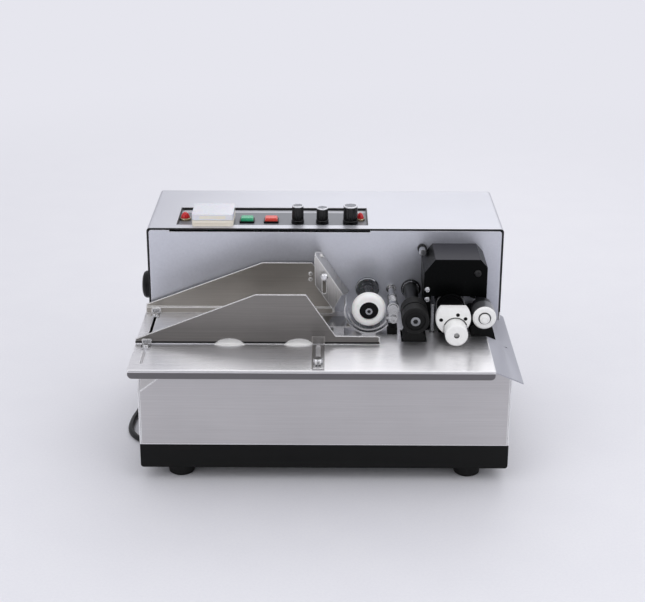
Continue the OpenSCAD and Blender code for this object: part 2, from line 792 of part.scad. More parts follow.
module counter_cover() {
  rest = tower_top + plinth_h;
  low = [counter_x0, counter_y0, rest];
  high = [counter_x0 + counter_w, counter_y0 + counter_d, tower_top + counter_h];
  mid = counter_x0 + counter_w / 2;
  wall = [counter_wall, counter_wall, 0];
  color("#efece2", 0.8) machine() difference() {
    union() {
      difference() {
        translate([0, 0, rest + seat_gap]) linear_extrude(high[2] - rest - seat_gap)
          round_box([low[0], low[1]], [high[0], high[1]], counter_corner);
        box(low + wall - [0, 0, 1], high - wall - [0, 0, counter_wall]);
      }
      for (s = [-1, 1])
        along_x(mid + s * (hinge_block_w / 2 + hinge_len / 2 + seat_gap) - hinge_len / 2,
                mid + s * (hinge_block_w / 2 + hinge_len / 2 + seat_gap) + hinge_len / 2) union() {
          translate([hinge_y, hinge_z]) circle(hinge_lug_r);
          translate([high[1] - counter_wall, hinge_z - hinge_lug_r + seat_gap])
            square([hinge_y - high[1] + counter_wall, 2 * hinge_lug_r - seat_gap]);
        }
    }
    along_x(mid - hinge_block_w, mid + hinge_block_w) translate([hinge_y, hinge_z]) circle(hinge_r + run_fit);
    box([mid - hinge_block_w / 2 - seat_gap, high[1] - counter_wall - 1, rest - 1],
        [mid + hinge_block_w / 2 + seat_gap, high[1] + 1, hinge_z + hinge_lug_r + seat_gap]);
  }
}

module button_bezels() {
  w = button_w / 2 + bezel_rim / 2;
  d = button_d / 2 + bezel_rim / 2;
  color("#171718") machine() for (x = button_x) difference() {
    union() {
      translate([x, controls_y, panel_top]) linear_extrude(bezel_h)
        round_box([-w - bezel_lip, -d - bezel_lip], [w + bezel_lip, d + bezel_lip], 1.5);
      box([x - w, controls_y - d, panel_top - bezel_body], [x + w, controls_y + d, panel_top + 1]);
    }
    box([x - button_w / 2 - button_fit, controls_y - button_d / 2 - button_fit, panel_top - bezel_body + 2],
        [x + button_w / 2 + button_fit, controls_y + button_d / 2 + button_fit, panel_top + bezel_h + 1]);
  }
}

// Button cap with rounded top edges; it stands clear of its switch by the travel
module button(x) {
  foot = panel_top - bezel_body + 2 + button_travel + 1;
  top = panel_top + button_rise;
  edge = 1.2;
  low = [-button_w / 2, -button_d / 2];
  high = [button_w / 2, button_d / 2];
  machine() translate([x, controls_y, 0]) {
    translate([0, 0, foot]) linear_extrude(top - edge - foot) round_box(low, high, edge);
    translate([0, 0, top - edge]) linear_extrude(edge)
      round_box(low + [edge, edge] * 0.6, high - [edge, edge] * 0.6, edge);
  }
}

module start_button() {
  color("#1d9a5b") button(button_x[0]);
}

module stop_button() {
  color("#d8342c") button(button_x[1]);
}

module potentiometers() {
  color("#2b2c2e") machine() {
    for (x = knob_x) difference() {
      union() {
        rod_z(x, knobs_y, pot_r, panel_top - plate_t - pot_h, panel_top - plate_t);
        rod_z(x, knobs_y, pot_neck_r, panel_top - plate_t - 1, panel_top + pot_neck_h);
      }
      rod_z(x, knobs_y, knob_shaft_r + run_fit, panel_top - plate_t - pot_h + pot_floor,
            panel_top + pot_neck_h + 1);
    }
    difference() {
      union() {
        along_x(-half_w + sheet, -half_w + sheet + pot_h) translate([side_knob_y, side_knob_z]) circle(pot_r);
        along_x(-half_w - side_neck, -half_w + sheet + 1)
          translate([side_knob_y, side_knob_z]) circle(pot_neck_r);
      }
      along_x(-half_w - 1, -half_w + sheet + pot_h - pot_floor)
        translate([side_knob_y, side_knob_z]) circle(knob_shaft_r + run_fit);
    }
  }
}

// Turned knob with a skirt and fluted side, hollow over the pot's neck, on its own shaft
module knob(x, d, h) {
  r = d / 2;
  flutes = 20;
  machine() translate([x, knobs_y, panel_top]) difference() {
    union() {
      rotate_extrude() polygon([
        [0, knob_lift + 1], [pot_neck_r + 0.6, knob_lift + 1], [pot_neck_r + 0.6, seat_gap],
        [r, seat_gap], [r, 4], [r - 0.6, 4.6], [r - 0.9, h - 1], [r - 1.6, h], [0, h]
      ]);
      translate([0, 0, -plate_t - pot_h + pot_floor + seat_gap])
        cylinder(r = knob_shaft_r, h = pot_h + plate_t + knob_lift);
    }
    for (k = [0:flutes - 1]) rotate(k * 360 / flutes)
      translate([r - 0.5, 0, 6]) cylinder(r = 0.7, h = h, $fn = 6);
  }
}

module speed_knob() {
  color("#1c1c1e") knob(knob_x[0], knob_d, knob_h);
}

module delay_knob() {
  color("#1c1c1e") knob(knob_x[1], knob_d, knob_h - 2.5);
}

module heat_knob() {
  color("#1c1c1e") knob(knob_x[2], big_knob_d, knob_h);
}

module side_knob() {
  r = side_knob_d / 2;
  rest = side_neck + seat_gap;
  h = side_knob_proud - rest;
  color("#19191b") machine() translate([-half_w - rest, side_knob_y, side_knob_z]) rotate([0, -90, 0]) {
    rotate_extrude() polygon([
      [0, 0], [r - 2, 0], [r, 1.5], [r, h - 4], [r - 1.5, h - 1.5], [r - 5, h], [0, h]
    ]);
    translate([0, 0, -pot_h - sheet + pot_floor]) cylinder(r = knob_shaft_r, h = pot_h);
  }
}

module front_guide() {
  bottom = table_z + guide_lift;
  top = table_z + front_guide_h;
  y = -front_guide_y;
  tip = feed_x + 11.5;
  tongue_h = 9.5;
  moon_reach = [169.5, 90.5];
  moon_r = 28;
  moon_rise = 5.5;
  color("#a9a6a2") machine() {
    along_y(y - guide_t, y) difference() {
      polygon([
        [-table_left, bottom], [tip, bottom], [tip, bottom + tongue_h - 1.5],
        [tip - 1.5, bottom + tongue_h - 0.5], [tip - 49.4, bottom + tongue_h], [tip - 83, top],
        [tip - 139.5, top], [-table_left, bottom + 5]
      ]);
      for (x = moon_reach) translate([tip - x, bottom + moon_rise - moon_r]) circle(moon_r);
    }
    // Strap that the clamp screw holds, with its upright end on the guide
    difference() {
      union() {
        box([clamp_x - strap_w / 2, -strap_front, table_z],
            [clamp_x + strap_w / 2, y - guide_t, table_z + strap_t]);
        box([clamp_x - strap_w / 2, y - guide_t - strap_t, table_z],
            [clamp_x + strap_w / 2, y - guide_t, bottom + strap_rise]);
      }
      translate([0, 0, table_z - 1]) linear_extrude(strap_t + 2)
        slot(clamp_x, -strap_slot[0], -strap_slot[1], 2 * clamp_r + 0.4);
    }
    end_bracket(y - guide_t);
  }
}

// Small angle at a guide's left end, with a screw whose shank slides in the table's slot
module end_bracket(y) {
  reach = 16;
  box([-slot_x - foot_w / 2, y - reach, table_z], [-slot_x + foot_w / 2, y, table_z + 2]);
  box([-slot_x - foot_w / 2, y - 2, table_z], [-slot_x + foot_w / 2, y, table_z + 6]);
  rod_z(-slot_x, y - reach + 5, 3.2, table_z + 2, table_z + 4.4);
  rod_z(-slot_x, y - reach + 5, slot_w / 2 - 0.2, table_under - 4, table_z + 2.5);
}

module rear_guide() {
  tip = gate_screw_pos[0] + 12.7;
  bottom = table_z + seat_gap;
  top = table_z + rear_guide_h;
  y = -rear_guide_y;
  color("#a39c94") machine() {
    along_y(y - guide_t, y) polygon([
      [-table_left + 1, bottom], [tip, bottom], [tip, table_z + 22], [tip - 27, top], [tip - 86, top],
      [-table_left + 1, bottom + 10]
    ]);
    box([-table_left + 1, y - guide_t - rail_t, bottom], [tip - 2, y - guide_t, bottom + rail_h]);
    rod_y(-slot_x + 2, bottom + rail_h / 2, 2.6, y - guide_t - rail_t - 1.2, y - guide_t - rail_t);
    for (z = [peg_z, peg_z - 7]) rod_y(peg_x, z, 2, y - guide_t - 1.5, y - guide_t);
    end_bracket(y - guide_t - rail_t);
  }
}

module clamp_screw() {
  top = table_z + strap_t;
  color("#c8c9cb") machine() translate([clamp_x, -clamp_y, 0]) {
    translate([0, 0, table_under - 6]) cylinder(r = clamp_r, h = top + seat_gap + 1 - table_under + 6);
    translate([0, 0, top + seat_gap]) cylinder(r = 5, h = 1);
    translate([0, 0, top + seat_gap + 0.9]) rotate_extrude()
      polygon([[0, 0], [3.6, 0], [5.4, 1.2], [5.4, 4], [4.6, 5], [0, 5]]);
  }
}

// Bar from the tower front to the gate's face
module gate_arm() {
  x = gate_screw_pos[0];
  z = gate_screw_pos[1];
  color("#9b9da0") machine() difference() {
    union() {
      box([x - 5.3, -gate_y + seat_gap, z - 5], [x + 2.7, 0, z + 2.5]);
      box([x - 9.3, -2, z - 10], [x + 2.7, 0, z + 2.5]);
    }
    rod_y(x, z, gate_screw_r + run_fit, -gate_y - 1, -gate_y + 12);
  }
}

module feed_gate() {
  back = -1.5;
  front = -gate_y - gate_t;
  x = gate_screw_pos[0];
  ridge_top = [x, table_z] + gate_ridge[0];
  ridge_low = [x, table_z] + gate_ridge[1];
  along = unit(ridge_low - ridge_top);
  across = gate_t * [along[1], -along[0]];
  color("#a7a8aa") machine() difference() {
    union() {
      along_y(front, -gate_y) polygon([
        [x - 11.6, table_z + 82], ridge_top, ridge_top + along * 56.5, [x + 10.3, table_z + 18],
        [x - 10.6, table_z + 49]
      ]);
      intersection() {
        along_y(front, back) polygon([ridge_top, ridge_low, ridge_low + across, ridge_top + across]);
        linear_extrude(tower_top) polygon([
          [ridge_top[0] - 2, front], [x + 21.1, front], [ridge_low[0], back], [ridge_top[0] + 6.4, back],
          [ridge_top[0] - 2, front + 3]
        ]);
      }
      upper = ridge_top + along * gate_pin[0];
      translate([upper[0], -gate_y + gate_pin[1], upper[1]]) rotate([0, 90 - atan2(-across[1], -across[0]), 0])
        translate([0, 0, -gate_t / 2]) cylinder(r1 = 3, r2 = 2.4, h = gate_t / 2 + 1.8);
    }
    along_y(front - 1, -gate_y + 1)
      slot(gate_screw_pos[0], gate_screw_pos[1] - gate_slot_len, gate_screw_pos[1], gate_slot_w);
  }
}

module gate_screw() {
  x = gate_screw_pos[0];
  z = gate_screw_pos[1];
  face = -gate_y - gate_t - seat_gap;
  color("#c8c9cb") machine() {
    rod_y(x, z, gate_screw_r, face - 1, -gate_y + 10);
    rod_y(x, z, 4.4, face - 1, face);
    spun_y(x, z) polygon([
      [0, face - 0.9], [3, face - 0.9], [4.2, face - 2], [4.2, face - 4.5], [2.6, face - 6], [0, face - 6]
    ]);
  }
}

// Bearing sleeve through the tower front and the frame, with a flange in front
module shaft_flange(x, sleeve_r, flange_r, neck, neck_len, bore_r) {
  difference() {
    spun_y(x, shaft_z) polygon([
      [0, -flange_t - neck_len], [neck, -flange_t - neck_len], [neck, -flange_t],
      [flange_r - 1, -flange_t], [flange_r, -flange_t + 1], [flange_r, 0], [sleeve_r, 0],
      [sleeve_r, sleeve_back], [0, sleeve_back]
    ]);
    rod_y(x, shaft_z, bore_r + run_fit, -flange_t - neck_len - 1, sleeve_back + 1);
  }
}

module shaft_flanges() {
  color("#1f2022") machine() {
    shaft_flange(feed_x, shaft_spots[0][1], feed_flange_r, neck_r, 9, shaft_r);
    shaft_flange(pull_x, shaft_spots[1][1], pull_flange_r, neck_r, pull_back - pull_neck_gap, shaft_r);
    shaft_flange(print_x, shaft_spots[2][1], print_flange_r, neck_r, 3, print_shaft_r);
    shaft_flange(outfeed_x, shaft_spots[3][1], outfeed_flange_r, neck_r - 1, 6, shaft_r);
  }
}

// Flanged belt pulley on a shaft
module pulley(x, z, y) {
  rod_y(x, z, pulley_r, y, y + pulley_w);
  rod_y(x, z, pulley_r + pulley_lip, y, y + 1);
  rod_y(x, z, pulley_r + pulley_lip, y + pulley_w - 1, y + pulley_w);
}

// Shaft end cap with a hex socket, its face at y = -front
module shaft_end(x, r, front, len) {
  difference() {
    rod_y(x, shaft_z, r, -front, -front + len);
    translate([x, -front + 2.4, shaft_z]) rotate([90, 0, 0]) cylinder(r = r * 0.55, h = 4, $fn = 6);
  }
}

module feed_shaft() {
  color("#c6c7c9") machine() {
    rod_y(feed_x, shaft_z, shaft_r, -feed_front, shaft_back);
    shaft_end(feed_x, shaft_r, feed_front + 1.5, 3.2);
    pulley(feed_x, shaft_z, belt_y[0]);
  }
}

module feed_hub() {
  r = feed_hub_d / 2;
  y0 = -feed_front + 1.8;
  color("#19191a") machine() difference() {
    spun_y(feed_x, shaft_z) polygon([
      [0, y0], [r - 1, y0], [r, y0 + 1], [r, y0 + feed_w], [r - 3, y0 + feed_w + 6], [0, y0 + feed_w + 6]
    ]);
    rod_y(feed_x, shaft_z, shaft_r + run_fit, y0 - 1, y0 + feed_w + 7);
  }
}

module feed_tyre() {
  r = feed_d / 2;
  shoulder = 5;
  y0 = -feed_front;
  color("#f3f2ee") machine() difference() {
    spun_y(feed_x, shaft_z) union() {
      translate([0, y0]) square([r - shoulder, feed_w]);
      translate([0, y0 + shoulder]) square([r, feed_w - 2 * shoulder]);
      for (y = [y0 + shoulder, y0 + feed_w - shoulder]) translate([r - shoulder, y]) circle(shoulder);
    }
    rod_y(feed_x, shaft_z, feed_hub_d / 2 + run_fit, y0 - 1, y0 + feed_w + 1);
  }
}

module feed_cradle() {
  lift = outer_strip_r + strip_t;
  bed_z = table_z + bed_rise;
  color("#c4c5c7") machine() {
    along_y(-strip_front, -strip_back) translate([feed_x, shaft_z])
      arc_strip(outer_strip_r, strip_t, 162, 322);
    // Feet under the strip, and the bed that brings cards to it
    box([feed_x - 8, -strip_front, table_z], [feed_x + 8, -strip_back, shaft_z - lift + 0.6]);
    box([feed_x - 52.5, -strip_front, bed_z], [feed_x - outer_strip_r * 0.7, -strip_back + 10, bed_z + 1.5]);
    box([feed_x - 40.5, -strip_front + 1.5, table_z], [feed_x - 28.5, -strip_front + 3, bed_z + 0.5]);
  }
}

module separator_post() {
  color("#d4d5d7") machine() {
    rod_y(post_x, shaft_z, post_r, -arm_front - 2, frame_y1);
    rod_y(post_x, shaft_z, 5.6, -34, -30);
    rod_y(post_x, shaft_z, 5.6, -arm_front - 2, -arm_front - seat_gap);
    rod_y(post_x, shaft_z, 6, -2.5, 0);
  }
}

module separator_arm() {
  screw = [post_x + 0.7, shaft_z - 12.6];
  strip_end = inner_strip_r * [cos(-32), sin(-32)] + [feed_x, shaft_z];
  color("#d0d1d3") machine() {
    difference() {
      along_y(-arm_front, -arm_back) union() {
        translate([post_x, shaft_z]) circle(7);
        translate(screw) circle(5.4);
        polygon([[post_x - 5, shaft_z], [post_x + 5, shaft_z], screw + [5, 0], screw + [-5, 0]]);
        polygon([strip_end, screw + [0, -1.6], screw + [0, 1.6], strip_end + [0.6, 2.4]]);
      }
      rod_y(post_x, shaft_z, post_r + run_fit, -arm_front - 1, -arm_back + 1);
    }
    difference() {
      rod_y(screw[0], screw[1], 4.4, -arm_front - 3, -arm_front + 0.5);
      translate([screw[0], -arm_front - 1, screw[1]]) rotate([90, 0, 0]) cylinder(r = 2, h = 3, $fn = 6);
    }
    along_y(-strip_front, -strip_back) translate([feed_x, shaft_z])
      arc_strip(inner_strip_r, strip_t, 192, 329);
  }
}

// Spring on the post behind the separator arm
spring_turns = 7;
spring_r = 4.9;
spring_wire = 0.6;
spring_y = [-arm_back + seat_gap + spring_wire, -34 - seat_gap - spring_wire];
spring_points = [
  for (i = [0:spring_turns * 8])
    let (t = i / (spring_turns * 8))
      [
        post_x + spring_r * cos(360 * spring_turns * t),
        spring_y[0] + (spring_y[1] - spring_y[0]) * t,
        shaft_z + spring_r * sin(360 * spring_turns * t)
      ]
];

module separator_spring() {
  color("#b9babd") machine() tube(spring_points, spring_wire, 6, [0, 1, 0]);
}

module pull_shaft() {
  color("#c6c7c9") machine() {
    rod_y(pull_x, shaft_z, shaft_r, -pull_front + 2, shaft_back);
    shaft_end(pull_x, shaft_r + 1.4, pull_front + 1, 3);
    pulley(pull_x, shaft_z, belt_y[0]);
  }
}

module pull_roller() {
  r = pull_d / 2;
  mid = -(pull_front + pull_back) / 2;
  y1 = -pull_back;
  color("#1b1b1c") machine() difference() {
    spun_y(pull_x, shaft_z) polygon([
      [0, -pull_front + 2.2], [r - 5, -pull_front + 2.2], [r - 4, -pull_front], [r - 1, -pull_front],
      [r, -pull_front + 1],
      [r, mid - pull_groove / 2], [r - 3, mid - pull_groove / 2], [r - 3, mid + pull_groove / 2],
      [r, mid + pull_groove / 2], [r, y1 - 1], [r - 1, y1], [0, y1]
    ]);
    rod_y(pull_x, shaft_z, shaft_r + run_fit, -pull_front - 1, y1 + 1);
  }
}

// Plate under the table on two spacer rods; its two lugs rise through the table to the lower rollers
module lower_bracket() {
  x0 = pull_x - bracket_side;
  x1 = print_x + bracket_side;
  z0 = table_under - bracket_drop;
  color("#8d9094") machine() {
    difference() {
      along_y(-bracket_front, -bracket_back) union() {
        round_box([x0, z0], [x1, table_under - 6], 4);
        for (p = [[pull_x, lower_z], [print_x, press_z]]) {
          translate(p) circle(lug_r);
          translate([p[0] - lug_r, z0 + 5]) square([2 * lug_r, p[1] - z0 - 5]);
        }
        translate([side_plate_x[0], z0 + 5])
          square([side_plate_x[1] - side_plate_x[0], table_z + side_plate_rise - z0 - 5]);
      }
      rod_y(pull_x, lower_z, lower_shaft_r + run_fit, -bracket_front - 1, -bracket_back + 1);
      rod_y(print_x, press_z, lower_shaft_r + run_fit, -bracket_front - 1, -bracket_back + 1);
    }
    for (x = [x0 + 8, x1 - 8]) rod_y(x, z0 + 8, 5, -bracket_back, frame_y0);
  }
}

module lower_roller() {
  color("#202021") machine() {
    rod_y(pull_x, lower_z, lower_d / 2, -lower_front_y, -pull_back);
    rod_y(pull_x, lower_z, lower_shaft_r, -pull_back - 1, -bracket_back + 1);
  }
}

module press_roller() {
  color("#3a3a3b") machine() {
    rod_y(print_x, press_z, press_d / 2, -drum_front, -drum_back);
    rod_y(print_x, press_z, lower_shaft_r, -bracket_front, frame_y1);
  }
}

module print_shaft() {
  hub_front = disc_front - disc_t - seat_gap;
  color("#3b3c3e") machine() {
    rod_y(print_x, shaft_z, print_shaft_r, -disc_front + 2, belt_y[1] + pulley_w + 1);
    rod_y(print_x, shaft_z, 15, -hub_front, -hub_front + 20);
    rod_y(print_x, shaft_z, 13, -hub_front + 20, -hood_front - hood_room);
    rod_y(print_x, shaft_z, 16, -hood_front - hood_room - 3, -hood_front - hood_room);
    for (y = belt_y) pulley(print_x, shaft_z, y);
  }
}

module print_wheel() {
  r = print_d / 2;
  slots = 3;
  color("#b8babd") machine() difference() {
    rod_y(print_x, shaft_z, r, -drum_front, -drum_back);
    rod_y(print_x, shaft_z, print_shaft_r + run_fit, -drum_front - 1, -drum_back + 1);
    for (k = [0:slots - 1]) translate([print_x, 0, shaft_z]) rotate([0, k * 360 / slots, 0])
      box([-5, -drum_front + 5, r - 5], [5, -drum_back - 5, r + 1]);
  }
}

module crank_disc() {
  r = crank_d / 2;
  flat = 14;
  pin_end = disc_front + handle_len - handle_front_wall - seat_gap;
  color("#f4f3ef") machine() {
    difference() {
      spun_y(print_x, shaft_z) polygon([
        [0, -disc_front], [r - 1, -disc_front], [r, -disc_front + 1], [r, -disc_front + disc_t],
        [0, -disc_front + disc_t]
      ]);
      rod_y(print_x, shaft_z, print_shaft_r + run_fit, -disc_front + 1.8, -disc_front + disc_t + 1);
      box([print_x - r, -disc_front - 1, shaft_z + flat],
          [print_x + r, -disc_front + disc_t + 1, shaft_z + r + 1]);
      for (p = [[-13.7, -1.5], [13.7, 0], [5, 4.6]])
        rod_y(print_x + p[0], shaft_z + p[1], disc_hole_r, -disc_front - 1, -disc_front + 4);
      rod_y(pin_x, pin_z, handle_d / 2 + handle_room, -disc_front - 1, -disc_front + handle_sink);
    }
    rod_y(pin_x, pin_z, crank_pin_r, -pin_end, -disc_front + handle_sink + 1);
  }
}

module crank_handle() {
  r = handle_d / 2;
  front = -disc_front - handle_len;
  back = -disc_front + handle_sink - seat_gap;
  color("#f6f5f1") machine() difference() {
    spun_y(pin_x, pin_z) polygon([
      [0, front], [r - 1.5, front], [r, front + 1.5], [r, back - 0.8], [r - 0.8, back], [0, back]
    ]);
    rod_y(pin_x, pin_z, crank_pin_r + run_fit, front + handle_front_wall, back + 1);
    rod_y(pin_x, pin_z, handle_hole_r, front - 1, front + handle_front_wall + 1);
  }
}

module print_frame() {
  color("#1d1d1f") machine()
    box([hood_left + hood_wall + seat_gap, -hood_front + hood_wall, table_z],
        [hood_left + leg_w, 0, table_z + hood_rise - hood_cut[0][1] - 3]);
  // Block on the table under the separator
  color("#1d1d1f") machine()
    box([post_x - 6.5, -arm_front - 4, table_z], [post_x + 5, -arm_back + 4, table_z + 8]);
}

// Outline of the hood in x and z
function hood_outline() = [
  [hood_left, table_z + hood_low], [hood_right - hood_tab[0], table_z + hood_low],
  [hood_right - hood_tab[0], table_z + hood_low - hood_tab[1]],
  [hood_right, table_z + hood_low - hood_tab[1]],
  [hood_right, table_z + hood_rise - hood_cut[1][1]], [hood_right - hood_cut[1][0], table_z + hood_rise],
  [hood_left + hood_cut[0][0], table_z + hood_rise], [hood_left, table_z + hood_rise - hood_cut[0][1]]
];

module ink_hood() {
  color("#141415") machine() difference() {
    along_y(-hood_front, 0) union() {
      polygon(hood_outline());
      translate([hood_left, table_z]) square([leg_w, hood_low + 1]);
    }
    along_y(-hood_front + hood_wall, 1) union() {
      offset(delta = -hood_wall) polygon(hood_outline());
      translate([hood_left + hood_wall, table_z - 1])
        square([hood_right - hood_left - 2 * hood_wall, hood_low + hood_wall + 2]);
      translate([hood_left - 1, table_z - 1]) square([hood_wall + 2, hood_low + 1]);
    }
    rod_y(outfeed_x, shaft_z, outfeed_flange_r + hood_room, -flange_t - hood_room, 1);
  }
}

module ink_roll() {
  color("#0f0f10") machine() {
    rod_y(ink_x, ink_z, ink_d / 2, -hood_front + hood_wall + 2, -drum_back);
    rod_y(ink_x, ink_z, ink_axle_r, -drum_back - 1, frame_y1 + 6);
  }
}

module outfeed_shaft() {
  color("#bfc1c4") machine() {
    rod_y(outfeed_x, shaft_z, shaft_r, -outfeed_front + outfeed_wall, shaft_back);
    rod_y(outfeed_x, shaft_z, outfeed_body_r, -outfeed_front + outfeed_tyre_w + seat_gap,
          -hood_front - hood_room);
    pulley(outfeed_x, shaft_z, belt_y[0]);
  }
}

module outfeed_roller() {
  r = outfeed_d / 2;
  y0 = -outfeed_front;
  cap = y0 - outfeed_boss_h;
  color("#eeedea") machine() difference() {
    spun_y(outfeed_x, shaft_z) polygon([
      [0, cap - outfeed_stub[1]], [outfeed_stub[0], cap - outfeed_stub[1]], [outfeed_stub[0], cap],
      [outfeed_boss_r - 1, cap], [outfeed_boss_r, cap + 1],
      [outfeed_boss_r, y0 + outfeed_groove[1]], [outfeed_boss_r + outfeed_groove[0], y0 + outfeed_groove[1]],
      [outfeed_boss_r + outfeed_groove[0], y0], [r - 2, y0], [r, y0 + 2],
      [r, y0 + outfeed_tyre_w], [0, y0 + outfeed_tyre_w]
    ]);
    rod_y(outfeed_x, shaft_z, shaft_r + run_fit, y0 + outfeed_wall - seat_gap, y0 + outfeed_tyre_w + 1);
  }
}

module outfeed_deflector() {
  x0 = print_x + deflector_gap;
  tip = table_bend + 11;
  top = shaft_z - outfeed_d / 2 - 1.5;
  color("#1a1a1b") machine() difference() {
    along_y(-76, -8) polygon([
      [x0, table_z], [table_bend, table_z], [tip, flap_z(tip) + seat_gap], [tip - 4, table_z + 10],
      [outfeed_x + 6, top - 2], [outfeed_x, top], [x0 + 3, top - 1], [x0, top - 3]
    ]);
    along_y(-73, -11) polygon([
      [x0 + 2, table_z - 6], [table_bend + 5, table_z - 6], [tip - 7, table_z + 7], [outfeed_x, top - 2.5],
      [x0 + 2, top - 4]
    ]);
  }
}

module drive_motor() {
  flange = 33;
  color("#4a4c50") machine() difference() {
    union() {
      along_y(-motor_gear + 30, frame_y0) translate([motor_x, motor_z])
        round_box([-flange, -flange], [flange, flange], 5);
      rod_y(motor_x, motor_z, motor_r, -motor_len, -motor_gear + 31);
      rod_y(motor_x, motor_z, 6, -motor_len - 3, -motor_len + 1);
    }
    rod_y(motor_x, motor_z, shaft_r + run_fit, -14, frame_y0 + 1);
  }
}

module motor_pulley() {
  color("#9a9da1") machine() {
    rod_y(motor_x, motor_z, shaft_r, -13.5, belt_y[1] + pulley_w + 1);
    pulley(motor_x, motor_z, belt_y[1]);
  }
}

// Closed belt round two equal pulleys, whose middles are a and b in x and z
module belt(a, b, y) {
  far = b - a;
  turn = atan2(far[1], far[0]);
  span = norm(far);
  inner = pulley_r + seat_gap;
  module loop(r) {
    circle(r);
    translate([span, 0]) circle(r);
    translate([0, -r]) square([span, 2 * r]);
  }
  along_y(y + 1 + seat_gap, y + pulley_w - 1 - seat_gap) translate(a) rotate(turn) difference() {
    loop(inner + belt_t);
    loop(inner);
  }
}

module drive_belts() {
  color("#242425") machine() {
    belt([feed_x, shaft_z], [outfeed_x, shaft_z], belt_y[0]);
    belt([motor_x, motor_z], [print_x, shaft_z], belt_y[1]);
  }
}

module control_board() {
  x0 = -150;
  x1 = -20;
  z0 = table_z + 14;
  z1 = table_z + 80;
  y = tower_depth - sheet - 12;
  color("#2f6b43") machine() {
    box([x0, y - 1.6, z0], [x1, y, z1]);
    for (x = [x0 + 6, x1 - 6], z = [z0 + 6, z1 - 6]) rod_y(x, z, 3, y, tower_depth - sheet);
    box([x0 + 14, y - 26, z0 + 12], [x0 + 50, y - 1.6, z0 + 46]);
    for (k = [0:2]) rod_y(x0 + 68 + 16 * k, z0 + 40, 6, y - 18, y - 1.6);
    box([x1 - 50, y - 12, z0 + 8], [x1 - 14, y - 1.6, z0 + 20]);
  }
}

// Strain relief on the back: nut plate, hexagon and a ribbed taper
module cord_gland() {
  y = tower_depth;
  r = cord_d / 2 + seat_gap;
  ribs = 5;
  color("#1a1a1b") machine() difference() {
    spun_y(gland_x, gland_z) polygon(concat(
      [[0, y - sheet - 6], [7, y - sheet - 6], [7, y], [10, y], [10, y + 4], [7.5, y + 5]],
      [
        for (k = [0:ribs - 1])
          each [
            [7 - k * 0.5, y + 8 + k * 5], [7 - k * 0.5, y + 11 + k * 5], [6 - k * 0.4, y + 11.5 + k * 5]
          ]
      ],
      [[4.8, y + gland_len], [0, y + gland_len]]
    ));
    rod_y(gland_x, gland_z, r, y - sheet - 7, y + gland_len + 1);
  }
}

module cord_lead() {
  color("#1c1c1d") machine() tube(cord_points, cord_d / 2, 8);
}

// The coil spirals in along the desk, climbs a layer in its middle half turn and spirals out on top
coil_points = [
  for (i = [0:coil_turns * coil_rings])
    let (
      t = i / coil_rings,
      half = coil_turns / 2,
      r = coil_r - coil_step * (half - abs(t - half)),
      climb = min(1, max(0, (t - half + 0.25) / 0.5)),
      a = 180 - 360 * t
    )
      [coil_mid[0] + r * cos(a), coil_mid[1] + r * sin(a), coil_z + coil_lift * (1 - cos(180 * climb)) / 2]
];
coil_end = coil_points[len(coil_points) - 1];
coil_way = [[0, 1, 0], [1, 0, 0]];
echo(coil_gap = wound_gap(coil_points, coil_rings, cord_d));
echo(spring_gap = wound_gap(spring_points, 8, 2 * spring_wire));

module cord_coil() {
  straight_in = [coil_points[0] - coil_way[0] * cord_d];
  straight_out = [coil_end + coil_way[1] * coil_free];
  color("#1c1c1d") machine() tube(concat(straight_in, coil_points, straight_out), cord_d / 2, 6);
}

// Tie round all the loops on the coil's right side
module cord_tie() {
  loops_x = [for (q = coil_points) if (q[0] > coil_mid[0] && abs(q[1] - coil_mid[1]) < 1) q[0]];
  room = cord_d / 2 + 2 * seat_gap;
  low = [min(loops_x) - room, tie_t];
  high = [max(loops_x) + room, coil_z + coil_lift + cord_d / 2 + seat_gap];
  rim = [tie_t, tie_t];
  color("#2a2a2b") machine() along_y(coil_mid[1] - tie_w / 2, coil_mid[1] + tie_w / 2) difference() {
    round_box(low - rim, high + rim, 2);
    round_box(low, high, 2 - tie_t);
  }
}

// Two-pin plug lying beside the coil, where the lead ends
module plug() {
  taper = 13;
  body = [26, 26];
  pin = [19, 2.4];
  pin_half = 9.5;
  y = coil_end[1];
  z = coil_end[2];
  x0 = coil_end[0] + coil_free;
  x1 = x0 + taper + body[0];
  color("#1c1c1d") machine() {
    translate([x0, y, z]) rotate([0, 90, 0]) cylinder(r1 = cord_d / 2 + 1, r2 = z - 3, h = taper + 1);
    along_x(x0 + taper, x1) round_box([y - body[1] / 2, 0.2], [y + body[1] / 2, 2 * z - 0.2], 5);
    for (side = [-1, 1])
      along_x(x1 - 1, x1 + pin[0]) translate([y + side * pin_half, z]) circle(pin[1]);
  }
}

base_tray();
rubber_feet();
front_panel();
side_panels();
rear_panel();
top_cover();
tower_front_panel();
work_table();
main_frame();
housing_screws();
control_panel();
signal_lamps();
counter_body();
counter_cover();
button_bezels();
start_button();
stop_button();
potentiometers();
speed_knob();
delay_knob();
heat_knob();
side_knob();
front_guide();
rear_guide();
clamp_screw();
gate_arm();
feed_gate();
gate_screw();
shaft_flanges();
feed_shaft();
feed_hub();
feed_tyre();
feed_cradle();
separator_post();
separator_arm();
separator_spring();
pull_shaft();
pull_roller();
lower_bracket();
lower_roller();
press_roller();
print_shaft();
print_wheel();
crank_disc();
crank_handle();
print_frame();
ink_hood();
ink_roll();
outfeed_shaft();
outfeed_roller();
outfeed_deflector();
drive_motor();
motor_pulley();
drive_belts();
control_board();
cord_gland();
cord_lead();
cord_coil();
cord_tie();
plug();
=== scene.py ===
"""Looks of the desk-top date coding machine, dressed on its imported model."""
import math

import bmesh
import bpy
from mathutils import Matrix, Vector


